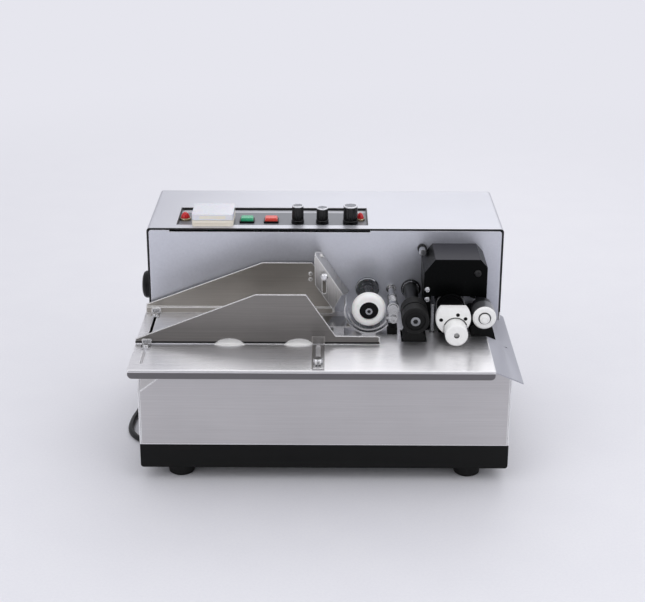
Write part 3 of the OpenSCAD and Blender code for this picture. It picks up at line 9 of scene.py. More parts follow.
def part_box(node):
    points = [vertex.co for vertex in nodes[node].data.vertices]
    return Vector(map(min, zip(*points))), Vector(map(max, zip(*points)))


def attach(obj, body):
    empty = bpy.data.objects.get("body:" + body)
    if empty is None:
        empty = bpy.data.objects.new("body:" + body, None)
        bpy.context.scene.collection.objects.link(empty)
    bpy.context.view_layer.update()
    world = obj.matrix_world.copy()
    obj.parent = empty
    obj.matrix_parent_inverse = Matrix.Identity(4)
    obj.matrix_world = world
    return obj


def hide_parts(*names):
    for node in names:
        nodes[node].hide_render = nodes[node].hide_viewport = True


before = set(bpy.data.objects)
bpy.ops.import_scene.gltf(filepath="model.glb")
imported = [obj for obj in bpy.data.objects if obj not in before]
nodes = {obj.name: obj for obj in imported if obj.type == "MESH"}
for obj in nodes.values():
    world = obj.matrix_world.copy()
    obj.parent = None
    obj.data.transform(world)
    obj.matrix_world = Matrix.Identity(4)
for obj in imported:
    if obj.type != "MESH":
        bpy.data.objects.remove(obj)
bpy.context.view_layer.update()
scene = bpy.context.scene
scene.view_settings.view_transform = "Standard"

MM = 0.001
# The machine's own zero, mid-width at the tower's front, as it lies in the model
TOWER_ZERO = Vector((2.1, 10.75, 0.0))


def at(x, y, z):
    """Point of the machine's own millimetres, in the model's metres."""
    return (Vector((x, y, z)) + TOWER_ZERO) * MM


# Camera: a little right of the middle and looking 21 degrees down, in metres and radians
CAMERA_AT = (0.004655, -1.584034, 0.782632)
CAMERA_TURN = 0.00340061673
CAMERA_DOWN = 0.366095419
CAMERA_ROLL = 0.00310379205
CAMERA_LENS_MM = 79.73
FILM_MM = 36
eye = bpy.data.objects.new("camera", bpy.data.cameras.new("camera"))
scene.collection.objects.link(eye)
aim = Matrix.Rotation(CAMERA_TURN, 4, "Z") @ Matrix.Rotation(math.pi / 2 - CAMERA_DOWN, 4, "X")
aim = aim @ Matrix.Rotation(CAMERA_ROLL, 4, "Z")
eye.matrix_world = Matrix.Translation(CAMERA_AT) @ aim
eye.data.sensor_width = FILM_MM
eye.data.lens = CAMERA_LENS_MM
eye.data.clip_start = 0.01
scene.camera = eye


def linear(code):
    """Linear colour of an sRGB hex code."""
    parts = [int(code[i:i + 2], 16) / 255 for i in (1, 3, 5)]
    return [c / 12.92 if c <= 0.04045 else ((c + 0.055) / 1.055) ** 2.4 for c in parts] + [1.0]


def add_node(tree, kind, settings=None, **inputs):
    """Adds a node with its settings. Each other keyword is an input, by its name or as _ and its number, and
    is given as a value or as another node's output."""
    node = tree.nodes.new("ShaderNode" + kind)
    for name, value in (settings or {}).items():
        setattr(node, name, value)
    for name, value in inputs.items():
        socket = node.inputs[int(name[1:])] if name[0] == "_" else node.inputs[name.replace("_", " ")]
        if isinstance(value, bpy.types.NodeSocket):
            tree.links.new(value, socket)
        else:
            socket.default_value = value
    return node


# Values of the noise between which a finish goes from its first tint and gloss to its second
GRAIN_BAND = (0.3, 0.7)
# Slow change over a surface, as handling and uneven coating leave: its size, and how much it counts
SLOW_MM = 70
SLOW_SHARE = 0.45


def finish(name, tints, rough, grain_mm, relief_mm, metallic=0.0, edge_mm=0.4, edge_tint=None,
           edge_fade=(0.99, 0.9), brushed=0.0, **shader):
    """Material whose tint, gloss and relief follow one grain, of one size or of three along x, y and z, with
    a slow change added. Edges are eased by edge_mm. Given a tint for them, the edges get a painted highlight:
    that tint, with less metal, and edge_fade gives the cosine of the eased surface's lean where the painted
    highlight begins and where it is full. Brushed is how far fine scratches along x stretch the highlights
    across them. Other keywords name shader sockets."""
    made = bpy.data.materials.new(name)
    made.use_nodes = True
    tree = made.node_tree
    surface = tree.nodes["Principled BSDF"]
    place = add_node(tree, "TexCoord").outputs["Object"]
    sizes = grain_mm if isinstance(grain_mm, tuple) else (grain_mm,) * 3
    sized = add_node(tree, "Mapping", Vector=place, Scale=[1 / (size * MM) for size in sizes])
    grain = add_node(tree, "TexNoise", Vector=sized.outputs[0], Scale=1.0, Detail=3.0, Roughness=0.6)
    slow = add_node(tree, "TexNoise", Vector=place, Scale=1 / (SLOW_MM * MM), Detail=2.0)
    drift = add_node(tree, "Math", {"operation": "MULTIPLY_ADD"},
                     _0=slow.outputs[0], _1=SLOW_SHARE, _2=-SLOW_SHARE / 2)
    both = add_node(tree, "Math", {"operation": "ADD"}, _0=grain.outputs[0], _1=drift.outputs[0])
    tint = add_node(tree, "ValToRGB", Fac=both.outputs[0])
    for stop, spot, code in zip(tint.color_ramp.elements, GRAIN_BAND, tints):
        stop.position = spot
        stop.color = linear(code)
    gloss = add_node(tree, "MapRange", Value=both.outputs[0], From_Min=GRAIN_BAND[0],
                     From_Max=GRAIN_BAND[1], To_Min=rough[0], To_Max=rough[1])
    eased = add_node(tree, "Bevel", {"samples": 6}, Radius=edge_mm * MM)
    relief = add_node(tree, "Bump", Strength=1.0, Distance=relief_mm * MM, Height=grain.outputs[0],
                      Normal=eased.outputs[0])
    colour = tint.outputs[0]
    surface.inputs["Metallic"].default_value = metallic
    # Painted highlight: along the edges the tint turns lighter and the metal less
    if edge_tint:
        flat = add_node(tree, "NewGeometry")
        lean = add_node(tree, "VectorMath", {"operation": "DOT_PRODUCT"},
                        _0=eased.outputs[0], _1=flat.outputs["True Normal"])
        highlight_share = add_node(tree, "MapRange", Value=lean.outputs["Value"], From_Min=edge_fade[0],
                        From_Max=edge_fade[1], To_Min=0.0, To_Max=1.0)
        mix = add_node(tree, "Mix", {"data_type": "RGBA"},
                       Factor=highlight_share.outputs[0], A=colour, B=linear(edge_tint))
        colour = mix.outputs["Result"]
        if metallic:
            highlight_metal = add_node(tree, "MapRange", Value=highlight_share.outputs[0], To_Min=metallic, To_Max=0.0)
            tree.links.new(highlight_metal.outputs[0], surface.inputs["Metallic"])
    tree.links.new(colour, surface.inputs["Base Color"])
    tree.links.new(gloss.outputs[0], surface.inputs["Roughness"])
    tree.links.new(relief.outputs[0], surface.inputs["Normal"])
    if brushed:
        across = add_node(tree, "Tangent", {"direction_type": "RADIAL", "axis": "X"})
        tree.links.new(across.outputs[0], surface.inputs["Tangent"])
        surface.inputs["Anisotropic"].default_value = brushed
    for key, value in shader.items():
        surface.inputs[key.replace("_", " ")].default_value = value
    return made


def inlay(made, box, code, rough, metallic=0.0):
    """Gives the part of a material inside a box of the machine's millimetres another tint and gloss."""
    tree = made.node_tree
    surface = tree.nodes["Principled BSDF"]
    axes = add_node(tree, "SeparateXYZ", Vector=add_node(tree, "TexCoord").outputs["Object"])
    share = None
    for k, (low, high) in enumerate(zip(*box)):
        for edge, test in ((low, "GREATER_THAN"), (high, "LESS_THAN")):
            if edge is None:
                continue
            side = add_node(tree, "Math", {"operation": test},
                            _0=axes.outputs[k], _1=(edge + TOWER_ZERO[k]) * MM).outputs[0]
            if share is None:
                share = side
            else:
                share = add_node(tree, "Math", {"operation": "MULTIPLY"}, _0=share, _1=side).outputs[0]
    for name, kind, value in (("Base Color", "RGBA", linear(code)), ("Roughness", "FLOAT", rough),
                              ("Metallic", "FLOAT", metallic)):
        socket = surface.inputs[name]
        before = socket.links[0].from_socket if socket.is_linked else socket.default_value
        if before != value:
            mix = add_node(tree, "Mix", {"data_type": kind}, Factor=share, A=before, B=value)
            tree.links.new(mix.outputs["Result"], socket)


def dress(made, *names):
    """Gives one material to these pieces of the model."""
    for name in names:
        mesh = nodes[name].data
        mesh.materials.clear()
        mesh.materials.append(made)


# Mains lead: PVC-sheathed cable, 7 mm thick, from its gland to the tied coil behind the machine
LEAD = [
    (-175, 160, 62), (-175, 178, 62), (-175, 193, 62), (-175.5, 207, 60), (-178.5, 220, 55),
    (-186, 230.5, 47.5), (-197, 237, 39), (-209.5, 238, 30), (-221.5, 233, 21.5), (-230, 224, 14),
    (-234, 211.5, 8.3), (-234.5, 198, 5), (-234.5, 180, 3.6), (-234, 156, 3.6), (-233, 132, 3.6),
    (-232, 108, 3.6), (-232, 84, 3.6), (-233, 62, 3.6), (-235, 44, 3.6), (-238, 26, 3.6),
    (-239, 8, 3.6), (-238, -8, 3.6), (-233, -22, 3.6), (-224, -34, 3.6), (-211, -42, 3.6),
    (-195, -46, 3.6), (-179, -46, 3.6), (-164, -41, 3.6), (-151, -32, 3.6), (-141, -19, 3.6),
    (-135, -3, 3.6), (-132, 18, 3.6), (-131, 44, 3.6), (-129.5, 72, 3.6), (-128, 100, 3.6),
    (-126, 128, 3.6), (-122.5, 154, 3.6), (-119, 180, 3.9), (-118, 204, 4.6), (-118, 224.7, 4.6),
]
LEAD_D = 7
# The coil: its outer turn, how far the turns lie apart, where it begins, and the free end towards the plug
COIL_R = 45
COIL_TURNS = 4.25
COIL_STEP = 7.8
COIL_Z = 4.6
COIL_START = (-118, 232)
COIL_FREE = 34
COIL_POINTS = 24
CLIMB_TURNS = 0.5


def coil_route():
    """The coil spirals in along the desk, climbs a layer half way and spirals out on top."""
    middle = (COIL_START[0] + COIL_R, COIL_START[1])
    half = COIL_TURNS / 2
    route = []
    for i in range(int(COIL_TURNS * COIL_POINTS) + 1):
        turn = i / COIL_POINTS
        r = COIL_R - COIL_STEP * (half - abs(turn - half))
        climb = min(1, max(0, (turn - half + CLIMB_TURNS / 2) / CLIMB_TURNS))
        angle = math.pi - 2 * math.pi * turn
        lift = COIL_STEP * (1 - math.cos(math.pi * climb)) / 2
        route.append((middle[0] + r * math.cos(angle), middle[1] + r * math.sin(angle), COIL_Z + lift))
    last = route[-1]
    return route + [(last[0] + COIL_FREE, last[1], last[2])]


def mains_lead():
    """Round tube along the whole route."""
    route = [at(*p) for p in LEAD + coil_route()]
    line = bpy.data.curves.new("mains_lead", "CURVE")
    line.dimensions = "3D"
    line.bevel_depth = 1.0
    line.bevel_resolution = 5
    line.resolution_u = 3
    line.use_fill_caps = True
    run = line.splines.new("BEZIER")
    run.bezier_points.add(len(route) - 1)
    for knot, p in zip(run.bezier_points, route):
        knot.co = p
        knot.radius = LEAD_D / 2 * MM
        knot.handle_left_type = knot.handle_right_type = "AUTO"
    lead = bpy.data.objects.new("mains_lead", line)
    scene.collection.objects.link(lead)
    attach(lead, "housing")
    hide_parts("cord_lead", "cord_coil")
    return lead


lead = mains_lead()

# Sliding pads under the front guide, in the machine's millimetres: edges, how far the front edge bows, faces
# and the radius of the back corners
PAD_FRONT = -104.6
PAD_BOW = 4.6
PAD_BACK = -92.0
PAD_UNDER = 158.1
PAD_TOP = 158.9
PAD_CORNER = 4
BOW_STEPS = 16
CORNER_STEPS = 6


def guide_pad(name, x, half):
    """Flat pad with a bowed front edge and rounded back corners, from its middle and half its width."""
    rim = []
    for i in range(BOW_STEPS + 1):
        u = 2 * i / BOW_STEPS - 1
        rim.append((x + u * half, PAD_FRONT - PAD_BOW * (1 - u * u)))
    for turn in (0, 1):
        corner = (x + (half - PAD_CORNER) * (1 - 2 * turn), PAD_BACK - PAD_CORNER)
        for i in range(CORNER_STEPS + 1):
            a = math.radians(90 * turn + 90 * i / CORNER_STEPS)
            rim.append((corner[0] + PAD_CORNER * math.cos(a), corner[1] + PAD_CORNER * math.sin(a)))
    count = len(rim)
    points = [at(px, py, z) for z in (PAD_UNDER, PAD_TOP) for px, py in rim]
    sides = [(k, (k + 1) % count, count + (k + 1) % count, count + k) for k in range(count)]
    mesh = bpy.data.meshes.new(name)
    mesh.from_pydata(points, [], sides + [tuple(range(count - 1, -1, -1)), tuple(range(count, 2 * count))])
    pad = bpy.data.objects.new(name, mesh)
    scene.collection.objects.link(pad)
    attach(pad, "front_card_guide")
    return pad


RING_SIDES = 48


def turned(name, middle, profile, body):
    """Ring turned from a profile of radii and heights, in mm, about an upright axis through a point."""
    rows = len(profile)
    points, faces = [], []
    for i in range(RING_SIDES):
        turn = 2 * math.pi * i / RING_SIDES
        here, there = i * rows, (i + 1) % RING_SIDES * rows
        for k, (r, z) in enumerate(profile):
            points.append((middle + Vector((r * math.cos(turn), r * math.sin(turn), z))) * MM)
            faces.append((here + k, there + k, there + (k + 1) % rows, here + (k + 1) % rows))
    mesh = bpy.data.meshes.new(name)
    mesh.from_pydata(points, [], faces)
    ring = bpy.data.objects.new(name, mesh)
    scene.collection.objects.link(ring)
    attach(ring, body)
    return ring


# Lens of a signal lamp: its height, the heights of its widest place and its foot, and its share of the lamp's
# radius
LENS_TALL = 9.6
LENS_WAIST = 2.4
LENS_FOOT = 0.3
LENS_SHARE = 0.94


def lamp_lens(name, foot, r):
    """Domed lens with a flat foot, in mm, on the panel."""
    made = bmesh.new()
    bmesh.ops.create_uvsphere(made, u_segments=40, v_segments=24, radius=1.0)
    mesh = bpy.data.meshes.new(name)
    made.to_mesh(mesh)
    made.free()
    for point in mesh.vertices:
        x, y, z = point.co
        height = max(LENS_FOOT, LENS_WAIST + z * (LENS_TALL - LENS_WAIST))
        point.co = (foot + Vector((x * r, y * r, height))) * MM
    for face in mesh.polygons:
        face.use_smooth = True
    lens = bpy.data.objects.new(name, mesh)
    scene.collection.objects.link(lens)
    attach(lens, "housing")
    return lens


# Bright turned aluminium rings let into the rims of the knobs' tops: a thin light circle. Their section is
# how far in from the knob's rim and how high against its top
KNOBS = (("speed_knob", "speed_control"), ("delay_knob", "delay_control"), ("heat_knob", "heat_control"))
RING_SECTION = ((1.55, -0.9), (0.75, -1.15), (0.7, -0.5), (1.35, 0.25), (2.2, 0.3), (2.3, -0.3))
ring_aluminium = finish("turned_bright_aluminium", ("#dcdde0", "#e8e9ec"), rough=(0.2, 0.3), grain_mm=0.8,
                        relief_mm=0.0006, metallic=0.7)
for knob, body in KNOBS:
    low, high = (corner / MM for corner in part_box(knob))
    rim = (high[0] - low[0]) / 2
    top = Vector(((low[0] + high[0]) / 2, (low[1] + high[1]) / 2, high[2]))
    profile = [(rim - inset, height) for inset, height in RING_SECTION]
    turned(knob + "_ring", top, profile, body).data.materials.append(ring_aluminium)

# Red acrylic lenses, moulded and glossy, in zinc-plated bezels with a dull yellow shine. The bezels' section
# is how far out from the lamp's side and how high over the panel
PANEL_TOP = 258.7
LAMP_R = {"left": 5.6, "right": 4.4}
BEZEL_SECTION = ((0.1, 0.05), (1.1, 0.05), (1.1, 1.6), (0.7, 2.6), (0.1, 2.9))
red_acrylic = finish("moulded_red_acrylic", ("#c0161c", "#d0222a"), rough=(0.08, 0.16), grain_mm=2,
                     relief_mm=0.001)
plated_bezel = finish("yellow_zinc_plate", ("#a8987c", "#b8a98e"), rough=(0.2, 0.3), grain_mm=0.8,
                      relief_mm=0.0006, metallic=0.8)
low, high = (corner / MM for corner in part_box("signal_lamps"))
for side, r in LAMP_R.items():
    x = low[0] + r if side == "left" else high[0] - r
    foot = Vector((x, (low[1] + high[1]) / 2, PANEL_TOP))
    profile = [(r + out, height) for out, height in BEZEL_SECTION]
    turned("lamp_bezel_" + side, foot, profile, "housing").data.materials.append(plated_bezel)
    lamp_lens("lamp_lens_" + side, foot, r * LENS_SHARE).data.materials.append(red_acrylic)

# White nylon pads, cut from sheet: plain and half matt, seen through the front guide's half-moon cut-outs
pad_nylon = finish("sheet_nylon_pad", ("#f0f0ee", "#f6f6f4"), rough=(0.4, 0.5), grain_mm=3, relief_mm=0.002)
for name, x, half in (("guide_pad_left", -107.5, 17.0), ("guide_pad_right", -30.0, 15.6)):
    guide_pad(name, x, half).data.materials.append(pad_nylon)

# Places with a finish of their own: a box's lowest and highest corner in the machine's millimetres, with None
# where it is open
OPEN = (None, None, None)
COVER_EDGING = OPEN, (None, 0.5, None)
TABLE_FLANGE_SHADE = OPEN, (None, -177.9, 155.2)
TABLE_FLAP = (186, None, None), (None, None, 157.7)
STRAP_UPRIGHT = (-14.2, None, 160.6), (0.2, -104.55, None)
STRAP_FOOT_HIGHLIGHT = (-14.2, None, None), (0.2, -104.55, 160.6)
FRONT_BRACKET = (-206.2, None, None), (-195.8, -104.55, None)
STRAP_SEAT = (-17.6, -104.6, 161.8), (3.6, None, 174)
GUIDE_GAP_SHADOW = (None, -104.6, None), (None, None, 161.8)
REAR_BRACKET = OPEN, (-195.8, -8.55, None)
FEED_SOCKET_SHADE = (48.2, -76.6, 185.7), (52.8, -74, 190.3)
PULL_SOCKET_SHADE = (98.9, -107.1, 184.9), (105.1, -104.4, 191.1)
HOOD_SCREW = (165, None, 220), (182, -50, 236)
STUD_RING = (106, -3.05, 230), (122, 0.1, 246)
FEED_FLANGE = (30, None, None), (70, None, None)
DISC_BORE_SHADE = (129, -98.2, 180), (161, -94, 197)
HANDLE_BORE_SHADE = (144.2, -118.1, 172.2), (151, -100, 179)
OUTFEED_BORE_SHADE = (173.1, -96.3, 180.6), (187.9, -93, 195.4)
OUTFEED_BEHIND_CAP = (None, -94.2, None), OPEN
PANEL_PLATE = OPEN, (None, None, 258.78)
PANEL_STRIP = (None, 71.5, None), (None, None, 258.78)
LAMP_FOOT = OPEN, (None, None, 260.85)
# The same for places that are counted from a piece's end: how deep or long they are
HOOD_TOP_SHEEN = 0.3
KNOB_CAP = 0.2
PLUG_PINS = 18.9

# Satin stainless sheet of the housing: an even silver grey that blurs what stands before it, with a painted
# highlight, a near-white tint, along its edges
HOUSING_EDGE = {"edge_mm": 1.8, "edge_tint": "#fafafc", "edge_fade": (0.9995, 0.985)}
housing_steel = finish("satin_stainless_housing", ("#c2c1c4", "#c9c8cb"), rough=(0.36, 0.44), grain_mm=1.4,
                       relief_mm=0.002, metallic=0.7, **HOUSING_EDGE)
dress(housing_steel, "side_panels", "rear_panel")
# The lower front is brushed along its length and faintly streaky, with scratches drawn at 0.6 mm so that they
# show, and it has the housing's painted edge highlight
front_steel = finish("brushed_stainless_front", ("#bfbdbe", "#cac8c9"), rough=(0.34, 0.42),
                     grain_mm=(90, 0.6, 0.6), relief_mm=0.0008, metallic=0.75, brushed=0.4, **HOUSING_EDGE)
dress(front_steel, "front_panel")
# The tower's front is smoother and cooler, and shows soft dark shapes of the wheels before it. Its edges
# carry a painted highlight
tower_steel = finish("satin_stainless_tower", ("#d0d2da", "#d6d8e0"), rough=(0.3, 0.37), grain_mm=3,
                     relief_mm=0.0005, metallic=0.75, edge_mm=0.8, edge_tint="#f4f4f8")
dress(tower_steel, "tower_front_panel")
# The cover is the same satin sheet with a painted highlight along its edges, and its front edge has a black
# edging
cover_steel = finish("satin_stainless_cover", ("#c8c9cf", "#cfd0d6"), rough=(0.36, 0.44), grain_mm=1.4,
                     relief_mm=0.002, metallic=0.7, edge_mm=1.0, edge_tint="#f0f0f4")
inlay(cover_steel, COVER_EDGING, "#101113", rough=0.5)
dress(cover_steel, "top_cover")

# Black powder coat on the base: deep black with a fine pebbled skin
black_powder = finish("black_powder_coat", ("#060707", "#0b0c0b"), rough=(0.42, 0.56), grain_mm=0.9,
                      relief_mm=0.006, Specular_IOR_Level=0.2)
dress(black_powder, "base_tray", "outfeed_deflector", "print_frame")
# Satin black paint on the hood: black with hardly a glint, and its top face painted grey, a painted sheen for
# the light from above
hood_paint = finish("black_satin_paint", ("#030404", "#060707"), rough=(0.26, 0.34), grain_mm=1.1,
                    relief_mm=0.002, edge_mm=0.6, Specular_IOR_Level=0.06, Sheen_Weight=0.03,
                    Sheen_Roughness=0.3)
hood_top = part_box("ink_hood")[1][2] / MM
# Painted sheen: the hood's top face is painted grey
inlay(hood_paint, ((None, None, hood_top - HOOD_TOP_SHEEN), OPEN), "#3d3d42", rough=0.45)
dress(hood_paint, "ink_hood")

# Brushed stainless sheet of the table: bright, with long fine scratches along its length, drawn at 0.5 mm so
# that they show, and a painted highlight along its edges. Its front flange is painted darker, a painted shade
# for the dim room it reflects, and the flap is dull
table_steel = finish("brushed_stainless_table", ("#efeeef", "#f6f5f6"), rough=(0.26, 0.32),
                     grain_mm=(120, 0.5, 0.5), relief_mm=0.0006, metallic=1.0, edge_mm=1.2,
                     edge_tint="#f8f7f8", brushed=0.95)
# Painted shade: the front flange is painted darker than the table
inlay(table_steel, TABLE_FLANGE_SHADE, "#7d7b7d", rough=0.36, metallic=1.0)
inlay(table_steel, TABLE_FLAP, "#b9bac2", rough=0.6, metallic=0.3)
dress(table_steel, "work_table")
# Brushed stainless sheet of the guides: warm grey with a painted white highlight along the cut edges,
# scratches drawn at 0.5 mm
CUT_EDGE_HIGHLIGHT = {"edge_tint": "#ffffff", "edge_fade": (0.995, 0.94)}
GUIDE_SHEET = {"grain_mm": (100, 0.5, 0.5), "relief_mm": 0.0006, "metallic": 1.0, "edge_mm": 1.8,
               "brushed": 0.6}
front_guide_steel = finish("brushed_stainless_front_guide", ("#85827f", "#93908c"), rough=(0.28, 0.38),
                           **GUIDE_SHEET, **CUT_EDGE_HIGHLIGHT)
# The strap and the end bracket are polished, and the strap's flat foot is painted lighter than its upright, a
# painted highlight for the light on its top. The painted edge highlight is left out where the strap is
# seated, and a black strip painted along the guide's lower edge is a painted shadow of the gap under it
inlay(front_guide_steel, STRAP_UPRIGHT, "#a19e9b", rough=0.34, metallic=1.0)
# Painted highlight: the strap's flat foot is painted lighter than its upright
inlay(front_guide_steel, STRAP_FOOT_HIGHLIGHT, "#c9c8c8", rough=0.26, metallic=1.0)
inlay(front_guide_steel, FRONT_BRACKET, "#d6d6d7", rough=0.16, metallic=1.0)
inlay(front_guide_steel, STRAP_SEAT, "#8c8986", rough=0.33, metallic=1.0)
# Painted shadow: a black strip along the guide's lower edge for the gap under it
inlay(front_guide_steel, GUIDE_GAP_SHADOW, "#060606", rough=0.7)
dress(front_guide_steel, "front_guide")
rear_guide_steel = finish("brushed_stainless_rear_guide", ("#b8b3ab", "#c5c0b8"), rough=(0.3, 0.4),
                          **GUIDE_SHEET, **CUT_EDGE_HIGHLIGHT)
inlay(rear_guide_steel, REAR_BRACKET, "#d6d6d7", rough=0.16, metallic=1.0)
dress(rear_guide_steel, "rear_guide")
# The gate is brushed upright, so its scratches, drawn at 0.5 mm, run up and down, and its edges carry a
# painted white highlight
gate_steel = finish("brushed_stainless_gate", ("#cdcbc8", "#d9d7d4"), rough=(0.26, 0.34),
                    grain_mm=(0.5, 60, 60), relief_mm=0.0006, metallic=1.0, edge_mm=1.4, **CUT_EDGE_HIGHLIGHT)
dress(gate_steel, "feed_gate", "gate_arm")

# Polished stainless strip: bright, with sharp reflections and a painted white highlight along its edges
polished_steel = finish("polished_stainless", ("#e2e3e4", "#eeeeef"), rough=(0.1, 0.18), grain_mm=(3, 0.5, 3),
                        relief_mm=0.0006, metallic=1.0, edge_mm=0.5, edge_tint="#ffffff")
dress(polished_steel, "feed_cradle", "separator_arm")
# Ground and turned steel: mid grey with lathe lines round the shafts, drawn at 0.6 mm so that they show, and
# a painted highlight along its edges
LATHE = {"grain_mm": (2, 0.6, 2), "relief_mm": 0.001, "metallic": 1.0}
ground_steel = finish("ground_steel", ("#a3a5a8", "#b5b7ba"), rough=(0.22, 0.34), edge_mm=0.5,
                      edge_tint="#e8e8ea", **LATHE)
dress(ground_steel, "main_frame", "lower_bracket", "print_wheel", "motor_pulley")
# The shafts' ends have a socket painted near black, a painted shade in its hollow
feed_end = finish("turned_steel_feed_shaft", ("#b2b4b7", "#c4c6c9"), rough=(0.18, 0.28), **LATHE)
inlay(feed_end, FEED_SOCKET_SHADE, "#141415", rough=0.4)
dress(feed_end, "feed_shaft")
pull_end = finish("turned_steel_pull_shaft", ("#8e9092", "#9fa1a3"), rough=(0.18, 0.28), **LATHE)
inlay(pull_end, PULL_SOCKET_SHADE, "#141415", rough=0.4)
dress(pull_end, "pull_shaft")
# Blackened roller: dark grey with a soft metal shine
roller_steel = finish("blackened_turned_steel", ("#232427", "#303134"), rough=(0.3, 0.42),
                      grain_mm=(3, 0.6, 3), relief_mm=0.002, metallic=0.6)
dress(roller_steel, "outfeed_shaft")

# Nickel-plated fittings: mirror bright with a few soft marks
nickel = finish("nickel_plate", ("#dedfe0", "#eaeaeb"), rough=(0.1, 0.18), grain_mm=2, relief_mm=0.0006,
                metallic=1.0)
dress(nickel, "clamp_screw", "gate_screw", "separator_post", "separator_spring")
# Among the screws, the hood's right one and the ring of the stud are black
screw_nickel = finish("nickel_plate_screws", ("#c9cacc", "#d8d9db"), rough=(0.12, 0.2), grain_mm=2,
                      relief_mm=0.0006, metallic=1.0)
inlay(screw_nickel, HOOD_SCREW, "#121213", rough=0.4)
inlay(screw_nickel, STUD_RING, "#121213", rough=0.4)
dress(screw_nickel, "housing_screws")

# Black oxide on turned steel: oily black with a dull metal glint
black_oxide = finish("black_oxide_steel", ("#060607", "#0c0d0e"), rough=(0.28, 0.4), grain_mm=(2, 0.7, 2),
                     relief_mm=0.002, metallic=0.4, Specular_IOR_Level=0.3)
dress(black_oxide, "print_shaft", "feed_hub")
# Of the flanges, the feed wheel's is left as bright turned steel
flange_oxide = finish("black_oxide_flanges", ("#0c0d0e", "#151618"), rough=(0.26, 0.36), grain_mm=(2, 0.7, 2),
                      relief_mm=0.002, metallic=0.5)
inlay(flange_oxide, FEED_FLANGE, "#8b8d90", rough=0.18, metallic=1.0)
dress(flange_oxide, "shaft_flanges")
# Sprayed paint on the cast motor: grey, rough and half matt
motor_paint = finish("sprayed_grey_paint", ("#3f4145", "#4b4d52"), rough=(0.45, 0.6), grain_mm=1.5,
                     relief_mm=0.02)
dress(motor_paint, "drive_motor")

# Moulded black rubber: matt, faintly dusty
rubber = finish("moulded_black_rubber", ("#090909", "#111111"), rough=(0.55, 0.75), grain_mm=1.2,
                relief_mm=0.01, Specular_IOR_Level=0.3)
dress(rubber, "rubber_feet", "pull_roller", "lower_roller", "press_roller", "ink_roll", "drive_belts")

# Soft PVC of the lead: smooth, black, a little shiny. The plug is moulded of it, and its pins are nickel
PVC = {"rough": (0.36, 0.5), "grain_mm": 2.5, "relief_mm": 0.01, "Specular_IOR_Level": 0.35}
soft_pvc = finish("soft_pvc", ("#070708", "#0c0c0d"), **PVC)
dress(soft_pvc, "cord_gland", "cord_tie")
lead.data.materials.append(soft_pvc)
plug_pvc = finish("moulded_pvc_plug", ("#070708", "#0d0d0e"), **PVC)
plug_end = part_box("plug")[1][0] / MM - TOWER_ZERO[0]
inlay(plug_pvc, ((plug_end - PLUG_PINS, None, None), OPEN), "#cfc9bb", rough=0.22, metallic=1.0)
dress(plug_pvc, "plug")

# White nylon turned from bar: clean white and half matt, with fine lathe lines drawn at 0.6 mm. The tyre is
# faintly translucent
TURNED_NYLON = {"grain_mm": (4, 0.6, 4), "relief_mm": 0.002}
nylon = finish("turned_white_nylon", ("#eeeeec", "#f4f4f2"), rough=(0.36, 0.48), Subsurface_Weight=0.1,
               Subsurface_Scale=0.002, **TURNED_NYLON)
dress(nylon, "feed_tyre")
# The bores of the disc, the handle and the outfeed roller are painted near black, a painted shade in their
# hollows, and behind its cap that roller is drawn in a darker metallic grey
disc_nylon = finish("turned_white_nylon_disc", ("#eeeeec", "#f4f4f2"), rough=(0.36, 0.48), **TURNED_NYLON)
inlay(disc_nylon, DISC_BORE_SHADE, "#1a1a1b", rough=0.5)
dress(disc_nylon, "crank_disc")
handle_nylon = finish("turned_white_nylon_handle", ("#f0f0ee", "#f6f6f4"), rough=(0.34, 0.46), **TURNED_NYLON)
inlay(handle_nylon, HANDLE_BORE_SHADE, "#2a2a2b", rough=0.5)
dress(handle_nylon, "crank_handle")
outfeed_nylon = finish("turned_white_nylon_outfeed", ("#eeeeec", "#f4f4f2"), rough=(0.36, 0.48),
                       **TURNED_NYLON)
inlay(outfeed_nylon, OUTFEED_BORE_SHADE, "#1a1a1b", rough=0.5)
inlay(outfeed_nylon, OUTFEED_BEHIND_CAP, "#808184", rough=0.3, metallic=0.7)
dress(outfeed_nylon, "outfeed_roller")

# Counter moulded in ABS: warm cream, half matt
cream_abs = finish("moulded_cream_abs", ("#e8e0d0", "#eee7d9"), rough=(0.38, 0.5), grain_mm=1.2,
                   relief_mm=0.002, edge_mm=0.6)
dress(cream_abs, "counter_body")
# Its cover of milky polycarbonate: pale, glossy and cloudy, with a painted highlight along its edges
milky_cover = finish("milky_polycarbonate", ("#dedee4", "#e5e5eb"), rough=(0.16, 0.26), grain_mm=3,
                     relief_mm=0.001, edge_mm=0.8, edge_tint="#fbfbff", Subsurface_Weight=0.2,
                     Subsurface_Scale=0.003)
# The counter's cream face shows through the cover's front: inset at its sides, depth, lower and upper edge
FACE_INSET = 9
FACE_DEEP = 2
FACE_Z = (1.6, 5.2)
low, high = (corner / MM - TOWER_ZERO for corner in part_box("counter_cover"))
counter_face = ((low[0] + FACE_INSET, None, low[2] + FACE_Z[0]),
                (high[0] - FACE_INSET, low[1] + FACE_DEEP, low[2] + FACE_Z[1]))
inlay(milky_cover, counter_face, "#ebe4d6", rough=0.2)
dress(milky_cover, "counter_cover")

# Control panel: black frame of moulded ABS round a grey anodised plate, half matt, with a pale bare strip
# behind the controls
panel_trim = finish("abs_frame_and_anodised_plate", ("#0c0c0d", "#131314"), rough=(0.36, 0.48), grain_mm=1,
                    relief_mm=0.003)
inlay(panel_trim, PANEL_PLATE, "#787a80", rough=0.42, metallic=0.2)
inlay(panel_trim, PANEL_STRIP, "#c4c5ca", rough=0.42)
dress(panel_trim, "control_panel")

